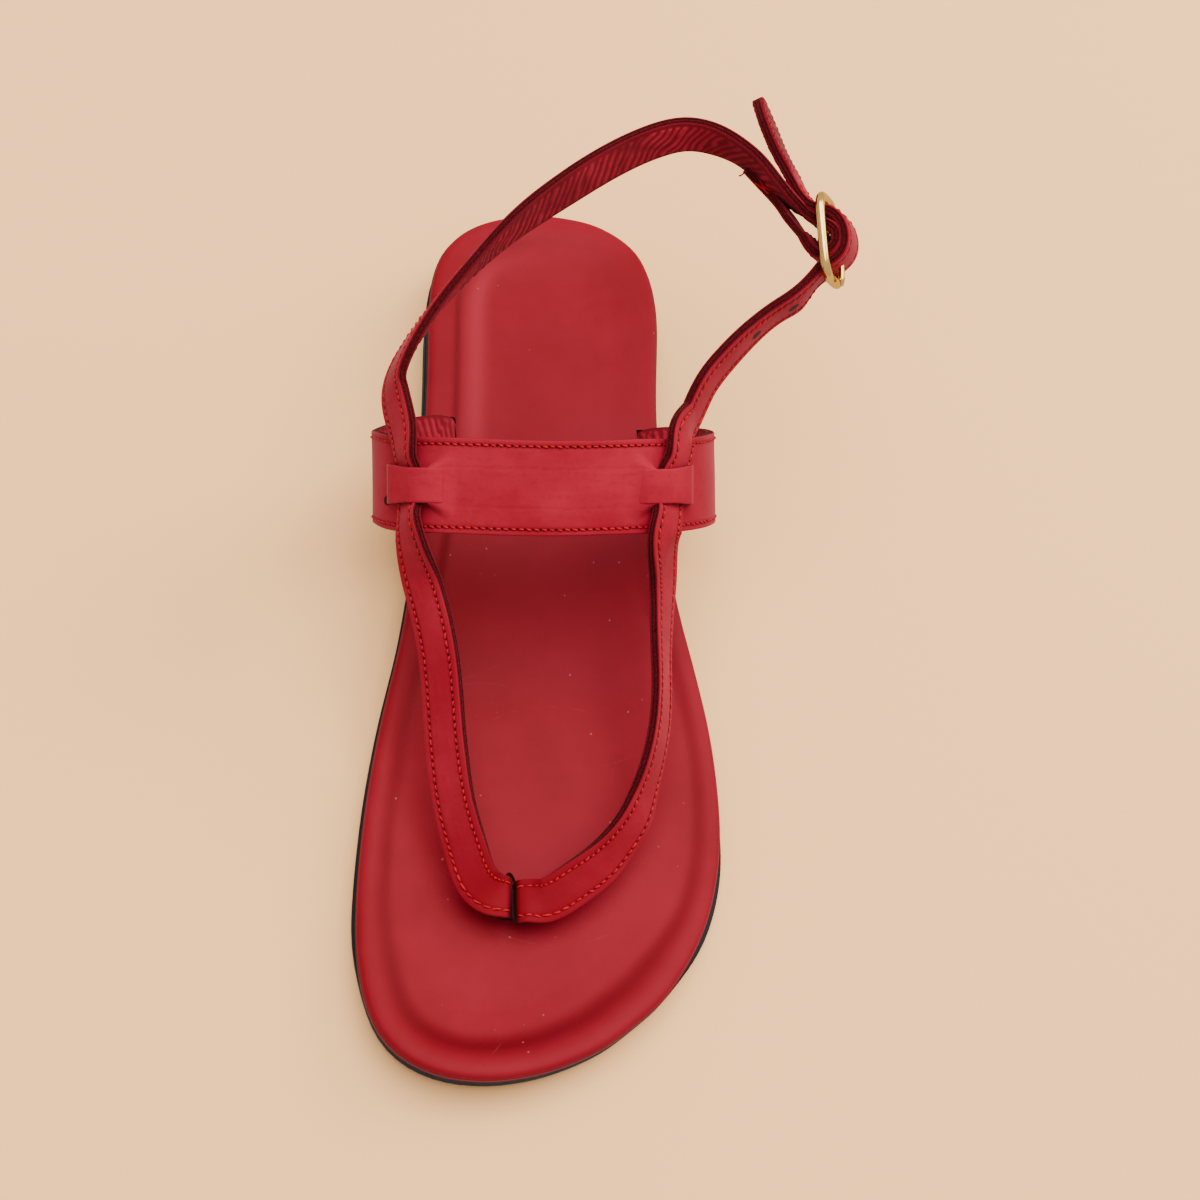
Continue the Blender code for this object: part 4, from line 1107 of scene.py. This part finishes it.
class SANDAL_OT_footbed(bpy.types.Operator):
    """Moulded footbed with a raised rim, slots for the band and the toe post"""
    bl_idname = "sandal.footbed"
    bl_label = "Footbed"

    def execute(self, context):
        base = OUTSOLE + GAP
        wall_top = FOOTBED - 0.0023

        def flat(lift):
            """Height function of a ring at one lift over the outsole."""
            return lambda q, inset: underside(q[:, 1]) + base + lift

        def top(q, inset):
            """Top side: rim, moulded step of each side, a dish in the middle and a slight swell."""
            drop = pchip(inset / MM, RIM) * MM
            for table_rows, weight in bowl(q):
                at, half, deep = (pchip(share_of(q), table_rows, k) for k in (1, 2, 3))
                drop = drop + weight * deep * MM * ease(inset / MM, at - half, at + half)
            drop = drop + 0.0010 * ease(inset, 0.009, 0.026)
            swell = 0.00016 * np.sin(q[:, 0] * 150 + 1.0) * np.sin(q[:, 1] * 90) * ease(inset, 0.010, 0.022)
            return underside(q[:, 1]) + base + FOOTBED - drop + swell

        def fields(rings, insets):
            """Black wall, painted shade along the step's foot and a pale painted highlight stripe beside the
            heel's step.
            """
            points = rings.reshape(-1, 3)
            share = share_of(points)
            shares = share.reshape(insets.shape)
            height = rings[..., 2] - underside(rings[..., 1]) - base
            toe = ease(shares, 0.84, 0.91)
            foot = (height < BLACK_FOOT) + (height > BLACK_FOOT) * (height < wall_top + 0.00005) * (1 - toe)
            wall = np.maximum((insets < 0.00004) * foot, (insets < 0.00020) * (shares < 0.45))
            inset = insets.reshape(-1) / MM
            # painted shade: how dark each crease is drawn
            crease_shade = np.zeros(len(points))
            for table_rows, weight in bowl(points):
                at, half, dark = (pchip(share, table_rows, k) for k in (1, 2, 4))
                crease_shade = crease_shade + weight * dark * np.exp(-((inset - at - 0.15 * half) / (0.62 * half)) ** 2)
            crease_shade = crease_shade.reshape(insets.shape) * (height > wall_top)
            # painted highlight: pale stripe beside the inner heel's step
            heel_highlight = np.exp(-((inset - pchip(share, STEP_INNER) - 5.6) / 3.2) ** 2) * bowl(points)[0][1]
            heel_highlight = heel_highlight * ease(share, 0.02, 0.10) * (1 - ease(share, 0.26, 0.36))
            return {"wall": wall, "crease_shade": crease_shade, "heel_highlight": heel_highlight.reshape(insets.shape)}

        rows = [("share", k, flat(0)) for k in (1.0, 0.6, 0.25)] + [("in", BED_CHAMFER, flat(0))]
        rows += [("in", 0.0, flat(z)) for z in (BED_CHAMFER, 0.0025, wall_top - 0.0006, wall_top - 0.0002)]
        insets = np.concatenate([[0.0, 0.12, 0.3, 0.55, 0.85, 1.2, 1.6], np.arange(2.2, 19.5, 0.6)]) * MM
        rows += [("in", d, top) for d in insets]
        rows += [("share", k, top) for k in np.linspace(RINGS_END, 1.0, 12)]
        bed = slab("footbed_leather", rows, shade_footbed("footbed_leather", colours()), fields)
        self.cut_band_slots(bed)
        self.cut_toe_slot(bed)
        bed.data.set_sharp_from_angle(angle=math.radians(40))
        claim(bed, "footbed", "footbed")
        return {"FINISHED"}

    def cut_band_slots(self, bed):
        """Slots round the band's ends: its section with a clearance, carried 5 mm deeper than the band."""
        c, n, w, t = band_path(64)
        low = c[:, 2] < INSTEP_HEIGHT * 0.45
        ka, ca, kb, cb, layer = section(4, 0.0003, 0.0)
        a = ka * (BAND_WIDTH / 2 + 2 * GAP) + ca
        b = kb * (BAND_THICK / 2 + GAP + 0.0002) + cb
        for name, side, end in (("slot_inner", -1, 0), ("slot_outer", 1, -1)):
            keep = low & (side * c[:, 0] > 0)
            p = c[keep]
            q = n[keep]
            deep_end = (p[end] - [0, 0, 0.005])[None]
            p = np.vstack([deep_end, p]) if end == 0 else np.vstack([p, deep_end])
            q = np.vstack([q[:1], q]) if end == 0 else np.vstack([q, q[-1:]])
            route = Route(p, q)
            rings = p[:, None] + route.w[:, None] * a[None, :, None] + route.n[:, None] * b[None, :, None]
            cut(bed, rings, grid_faces(*rings.shape[:2]), name)

    def cut_toe_slot(self, bed):
        """Upright oval slot for the toe post, longer behind the post than before it."""
        half, long, back = TOE_SLOT
        turn = np.linspace(0, 2 * math.pi, 41)[:-1]
        x = TOE_POST[0] * BALL_WIDTH + half * np.cos(turn)
        y = HEEL_BACK - TOE_POST[1] * LENGTH + back + long * np.sin(turn)
        rings = np.array([np.column_stack([x, y, np.full(40, z)]) for z in (0.0055, 0.04)])
        cut(bed, rings, grid_faces(2, 40), "slot_toe")


class SANDAL_OT_sole(bpy.types.Operator):
    """Thin black outsole, stacked heel and its rubber top piece"""
    bl_idname = "sandal.sole"
    bl_label = "Sole and heel"

    def execute(self, context):
        self.outsole()
        loop = self.heel_outline()

        def level(z):
            """Height function of a flat ring."""
            return lambda q, inset: np.full(len(q), z)

        rows = [("share", k, level(0)) for k in (0.9, 0.5)]
        rows += [("in", d, level(z)) for d, z in TOP_PIECE_EDGE]
        rows += [("share", k, level(TOP_PIECE)) for k in (0.5, 0.9)]
        rubber = shade_rubber("heel_rubber", colours(), 1.15)
        top = slab("heel_top_rubber", rows, rubber, loop=loop, caps=True)
        claim(top, "heel_top_piece", "heel_top_piece")

        foot = TOP_PIECE + GAP

        def lift(k):
            """Height function of a ring at a share of the stack's height."""
            return lambda q, inset: foot + (underside(q[:, 1]) - GAP - foot) * k

        rows = [("share", k, lift(0)) for k in (0.9, 0.5)]
        rows += [("in", d, lift(z)) for d, z in STACK_EDGE]
        rows += [("share", k, lift(1)) for k in (0.5, 0.9)]
        board = shade_rubber("heel_leather", colours(), 1.3, True)
        stack = slab("heel_stack_leather", rows, board, loop=loop, caps=True)
        claim(stack, "heel_stack", "heel_stack")
        return {"FINISHED"}

    def outsole(self):
        """Full-length sheet: it stands out most at the forefoot's outer side and least at the toe."""
        def flat(lift):
            """Height function of a ring at one lift over the underside."""
            return lambda q, inset: underside(q[:, 1]) + lift

        edge = edge_loop()[0]
        share = share_of(edge)
        right = ease(edge[:, 0], -0.01, 0.01) * ease(share, 0.70, 0.80) * (1 - ease(share, 0.86, 0.94))
        proud = OUTSOLE_PROUD + 0.0003 * ease(share, 0.40, 0.62) - 0.0011 * ease(share, 0.82, 0.93)
        proud = proud + 0.0009 * right
        rows = [("share", k, flat(0)) for k in (1.0, 0.8, 0.6, 0.4, 0.2)] + [("in", 0.0004, flat(0))]
        rows += [("in", d - proud, flat(z)) for d, z in OUTSOLE_EDGE]
        rows += [("in", 0.0008, flat(OUTSOLE))] + [("share", k, flat(OUTSOLE)) for k in (0.25, 0.6, 1.0)]
        claim(slab("outsole_rubber", rows, shade_rubber("sole_rubber", colours())), "outsole", "outsole")

    def heel_outline(self):
        """Outline's rear part closed by a bowed breast, and the foot of each point on a short middle line."""
        back = [row for row in OUTLINE if row[0] < 0.28] + [HEEL_BREAST]
        left = [(a * BALL_WIDTH, HEEL_BACK - s * LENGTH) for s, a, b in back]
        right = [(b * BALL_WIDTH, HEEL_BACK - s * LENGTH) for s, a, b in back]
        curve = smooth([(*p, 0) for p in left[::-1] + right], count=200)[:, :2]
        t = np.linspace(0, 1, 40)[1:-1, None]
        breast = curve[-1] + (curve[0] - curve[-1]) * t
        breast[:, 1] += BREAST_BOW * np.sin(math.pi * t[:, 0])
        ring = np.vstack([curve, breast])
        a, b = (np.array([x * BALL_WIDTH, HEEL_BACK - s * LENGTH]) for x, s in ((0.004, 0.11), (-0.01, 0.19)))
        share = np.clip(((ring - a) @ (b - a)) / ((b - a) @ (b - a)), 0, 1)
        return ring, a + share[:, None] * (b - a)


class SANDAL_OT_band(bpy.types.Operator):
    """Wide instep band with two stitch rows, pressed lines and a gathered lining"""
    bl_idname = "sandal.band"
    bl_label = "Instep band"

    def execute(self, context):
        z = sizes()
        row = BAND_WIDTH / 2 - z.band_inset
        route = band_route()
        grain = sewn(row, z.pitch, 0.00020, 0.0)
        total = route.s[-1]
        seats = [(route.find(band_at(x_share)[0]), -side) for name, x_share, skew, side in KEEPERS]

        def relief(s, a):
            """Stitch troughs, pressed lines, soft waves and the rise to each keeper; pleats on the lining."""
            mid = np.exp(-((s / total - 0.5) / 0.16) ** 6)
            press = -PRESS_DEPTH * mid * sum(np.exp(-((a - at) / PRESS_HALF) ** 2) for at in PRESSED)
            soft = 0.00012 * ripple(s + a, 4, 0.014) + 0.00008 * ripple(s * 0.7 - a, 9, 0.006)
            arch = 0
            for seat, way in seats:
                m = (s - seat) * way
                out = np.clip(m - 0.0055, 0, 0.007)
                reach = 0.0040 + 0.30 * out
                side_fade = 1 - ease(abs(a), reach, reach + 0.0016 + 0.55 * out)
                arch = arch + keeper_rise(m) * ease(m, 0.0052, 0.0060) * side_fade
            lift = grain(s, a) * (arch < 0.0001) + press + soft + arch
            return lift, pleats(s, a, BAND_WIDTH / 2, BAND_PLEATS)

        # painted shade: dark spot at the slit's end beside the inner keeper
        slit = ((seats[0][0] + SLIT[0], *SLIT[1:]),)
        leather = shade_strap("band_leather", colours(), row, z.pitch, slit)
        band = strip("instep_band", route, BAND_WIDTH, BAND_THICK, leather, relief, 3, 60, 0.00008)
        claim(band, "upper", "upper")

        def keeper_relief(s, a):
            """Slight waves on the grain side only."""
            return 0.00004 * ripple(s, 2, 0.004), 0 * s

        for name, x_share, skew, side in KEEPERS:
            path = keeper_route(x_share, side)
            width = KEEPER_WIDTH - 0.0014 * ease(path.s, 0.003, 0.012)
            # the keeper's fold gets a painted highlight line
            leather = shade_strap("keeper_leather_" + name, colours(), 0.02, z.pitch, fold_highlight=0.0034)
            name = "keeper_" + name
            keeper = strip(name, path, width, KEEPER_THICK, leather, keeper_relief, 7, 18, 0.00006, 0.5)
            claim(keeper, "upper", "upper")
        return {"FINISHED"}


class SANDAL_OT_straps(bpy.types.Operator):
    """Thong straps that run on into the ankle strap, the chape and the tail"""
    bl_idname = "sandal.straps"
    bl_label = "Straps"

    def execute(self, context):
        z = sizes()
        row = STRAP_WIDTH / 2 - z.row_inset
        grain = sewn(row, z.pitch)
        inner, outer, lap = inner_route(), outer_route(), lap_route()
        ankle = inner.find(place([INNER_AFT[0]])[0, :3])
        free = outer.s[-1] - TAIL

        def inner_relief(s, a):
            """Stitch troughs and soft waves; pleats that deepen behind the band."""
            soft = 0.00010 * ripple(s + 0.5 * a, 6, 0.010)
            gathered = 0.25 + 0.75 * ease(s, ankle, ankle + 0.02)
            return grain(s, a) + soft, pleats(s, a, STRAP_WIDTH / 2, INNER_PLEATS) * gathered

        def outer_relief(s, a):
            """Stitch troughs, soft waves and the tail's scallops; low pleats."""
            soft = 0.00010 * ripple(s - 0.6 * a, 11, 0.011)
            scallop = np.abs(np.sin(math.pi * (s + 0.0003 * ripple(s, 5, 0.003)) / SCALLOP)) ** 0.6
            soft = soft + SCALLOP_DEPTH * scallop * ease(s, free, free + 0.004)
            return grain(s, a) + soft, pleats(s, a, STRAP_WIDTH / 2, OUTER_PLEATS) * 0.8

        leather = shade_strap("inner_leather", colours(), row, z.pitch, toe=True)
        width = STRAP_WIDTH * pinched(inner, KEEPERS[0])
        claim(strip("strap_inner", inner, width, STRAP_THICK, leather, inner_relief, 4), "upper", "upper")

        hit = outer.find(place([OUTER_AFT[3]])[0, :3])
        punched = tuple((hit + d, PUNCH_ACROSS, PUNCH_RADIUS) for d in PUNCHED)
        leather = shade_strap("outer_leather", colours(), row, z.pitch, punched, tail=free, toe=True)
        width = STRAP_WIDTH * pinched(outer, KEEPERS[1])
        claim(strip("strap_outer", outer, width, STRAP_THICK, leather, outer_relief, 8), "upper", "upper")

        leather = shade_strap("lap_leather", colours(), row, z.pitch)
        width = STRAP_WIDTH * (0.84 + 0.20 * ease(lap.s, 0.0072, 0.0084))
        flap = strip("chape_lap", lap, width, STRAP_THICK - 0.0004, leather, inner_relief, 2, wave=0.00012)
        claim(flap, "upper", "upper")

        frayed = shade_thread("frayed_thread", tint(colours().thread, (0.8, 1.0, 1.0)))
        k = np.linspace(0, 1, 9)
        for i, (start, side, reach, rise) in enumerate(FRAYS):
            c, t, n, w = lap.at(lap.s[-1] - start + reach * k)
            curl = 0.0006 * np.sin(5.0 * k + i * 1.9)
            path = c + w * (side + curl * k)[:, None] + n * (rise * k)[:, None]
            strand = tube("fray_%d" % i, path, FRAY_RADIUS, frayed, (0.3, 0.2, 1.0), 8)
            claim(strand, "upper", "upper")
        return {"FINISHED"}


class SANDAL_OT_stitches(bpy.types.Operator):
    """Bright saddle stitching in two rows on every strap and on the band"""
    bl_idname = "sandal.stitches"
    bl_label = "Stitches"

    def execute(self, context):
        z = sizes()
        row = STRAP_WIDTH / 2 - z.row_inset
        first = round(FIRST_STITCH / z.pitch) * z.pitch
        high = STRAP_THICK / 2 + THREAD_LIFT
        runs = []
        for number, (route, keeper) in enumerate(zip((inner_route(), outer_route()), KEEPERS)):
            share = pinched(route, keeper)
            last = route.s[-1] - LAST_STITCH[number]
            for side in (-1, 1):
                seed = number * 2 + (side > 0)
                runs.append(bead_rows(route, side * row * share, high, first, last, 9.0 * side, seed))
        colour = tuple(colours().thread)
        claim(merge_beads("strap_stitches", runs, shade_thread("bright_thread", colour)), "upper", "upper")

        band = band_route()
        row = BAND_WIDTH / 2 - z.band_inset
        high = BAND_THICK / 2 + THREAD_LIFT
        first = z.pitch * 3
        runs = []
        for side in (-1, 1):
            runs.append(bead_rows(band, side * row, high, first, band.s[-1] - first, 14.0, 10 + (side > 0)))
        claim(merge_beads("band_stitches", runs, shade_thread("band_thread", colour)), "upper", "upper")
        return {"FINISHED"}


class SANDAL_OT_buckle(bpy.types.Operator):
    """Pale gold frame with its centre bar, and the prong"""
    bl_idname = "sandal.buckle"
    bl_label = "Buckle"

    def execute(self, context):
        centre, along, up, out = buckle_axes()
        metal = shade_metal("pale_gold", tuple(colours().metal))
        half_long = BUCKLE_LONG / 2 - BUCKLE_ROD
        half_high = BUCKLE_HIGH / 2 - BUCKLE_ROD
        path = []
        for sx, sy, start in ((1, 1, 0), (-1, 1, 90), (-1, -1, 180), (1, -1, 270)):
            g = np.radians(np.linspace(start, start + 90, 14))[:, None]
            x = sx * (half_long - CORNER) + CORNER * np.cos(g)
            y = sy * (half_high - CORNER) + CORNER * np.sin(g)
            path.append(centre + along * x + up * y)
        path = smooth(np.vstack(path)[::2], count=150, closed=True)
        ring = tube("buckle_ring", path, BUCKLE_ROD * 1.15, metal, out, 22, True, 0.90)
        claim(ring, "buckle_frame", "buckle_frame")
        path = np.array([centre + up * half_high * k for k in np.linspace(-1, 1, 12)])
        claim(tube("buckle_bar", path, BUCKLE_ROD * 0.96, metal, out), "buckle_frame", "buckle_frame")
        turn = np.radians(np.linspace(85, 400, 40))[:, None]
        loop = centre + PRONG_EYE * (np.cos(turn) * along + np.sin(turn) * out)
        path = smooth(np.vstack([loop[::4], round_buckle(PRONG_ARM)]), step=0.0003)
        far = np.linspace(0, 1, len(path))
        prong = tube("buckle_tongue", path, PRONG * (1 - 0.45 * ease(far, 0.92, 1.0)), metal, up, 16)
        claim(prong, "buckle_prong", "buckle_prong")
        return {"FINISHED"}


class SANDAL_OT_stage(bpy.types.Operator):
    """Pale floor, soft overhead light and the camera at the photograph's angle"""
    bl_idname = "sandal.stage"
    bl_label = "Stage"

    def execute(self, context):
        r = FLOOR_REACH
        corners = [(-r, -r, 0), (r, -r, 0), (r, r, 0), (-r, r, 0)]
        floor = new_piece("floor", corners, [(0, 1, 2, 3)], shade_floor("backdrop", tuple(colours().floor)))
        self.camera(context.scene)
        for light in LIGHTS:
            self.light(context.scene, *light)
        world = bpy.data.worlds.new("soft_room")
        context.scene.world = world
        world.use_nodes = True
        back = world.node_tree.nodes["Background"]
        back.inputs["Color"].default_value = ROOM_COLOUR
        back.inputs["Strength"].default_value = ROOM_LIGHT
        return {"FINISHED"}

    def camera(self, scene):
        """Camera at the photograph's eye point, turned from its tilt to the aimed pixel."""
        camera = bpy.data.cameras.new("camera")
        camera.sensor_width = SENSOR
        camera.lens = LENS
        camera.clip_start = 0.01
        eye = bpy.data.objects.new("camera", camera)
        tilt = Euler((math.radians(TILT), 0, 0)).to_quaternion()
        x = (AIM_PIXEL[0] - PHOTO_MIDDLE) / PHOTO_FOCUS
        y = -(AIM_PIXEL[1] - PHOTO_MIDDLE) / PHOTO_FOCUS
        old = tilt @ Vector((0, 0, -1))
        new = (tilt @ Vector((x, y, -1))).normalized()
        eye.location = EYE
        eye.rotation_euler = (old.rotation_difference(new) @ tilt).to_euler()
        scene.collection.objects.link(eye)
        scene.camera = eye

    def light(self, scene, name, spot, size, power):
        """Round area light that faces the sandal."""
        lamp = bpy.data.lights.new(name, "AREA")
        lamp.shape = "DISK"
        lamp.size = size
        lamp.energy = power
        light = bpy.data.objects.new(name, lamp)
        light.location = spot
        light.rotation_euler = (Vector(LIGHTS_FACE) - light.location).to_track_quat("-Z", "Y").to_euler()
        scene.collection.objects.link(light)


STEPS = (
    SANDAL_OT_footbed, SANDAL_OT_sole, SANDAL_OT_band, SANDAL_OT_straps, SANDAL_OT_stitches, SANDAL_OT_buckle,
    SANDAL_OT_stage,
)


class SANDAL_PT_panel(bpy.types.Panel):
    """Lists the sandal's sizes, colours and steps."""
    bl_label = "Sandal"
    bl_idname = "SANDAL_PT_panel"
    bl_space_type = "VIEW_3D"
    bl_region_type = "UI"
    bl_category = "Sandal"

    def draw(self, context):
        layout = self.layout
        for group in (context.scene.sandal_sizes, context.scene.sandal_colours):
            for key in group.__annotations__:
                layout.prop(group, key)
        for step in STEPS:
            layout.operator(step.bl_idname)


CLASSES = (SandalSizes, SandalColours, *STEPS, SANDAL_PT_panel)


def register():
    """Adds the classes and the two setting groups."""
    for cls in CLASSES:
        bpy.utils.register_class(cls)
    bpy.types.Scene.sandal_sizes = PointerProperty(type=SandalSizes)
    bpy.types.Scene.sandal_colours = PointerProperty(type=SandalColours)


def unregister():
    """Removes them again."""
    del bpy.types.Scene.sandal_colours
    del bpy.types.Scene.sandal_sizes
    for cls in reversed(CLASSES):
        bpy.utils.unregister_class(cls)


def main():
    """Builds every piece in order."""
    register()
    for step in STEPS:
        group, name = step.bl_idname.split(".")
        getattr(getattr(bpy.ops, group), name)()


if __name__ == "__main__":
    main()
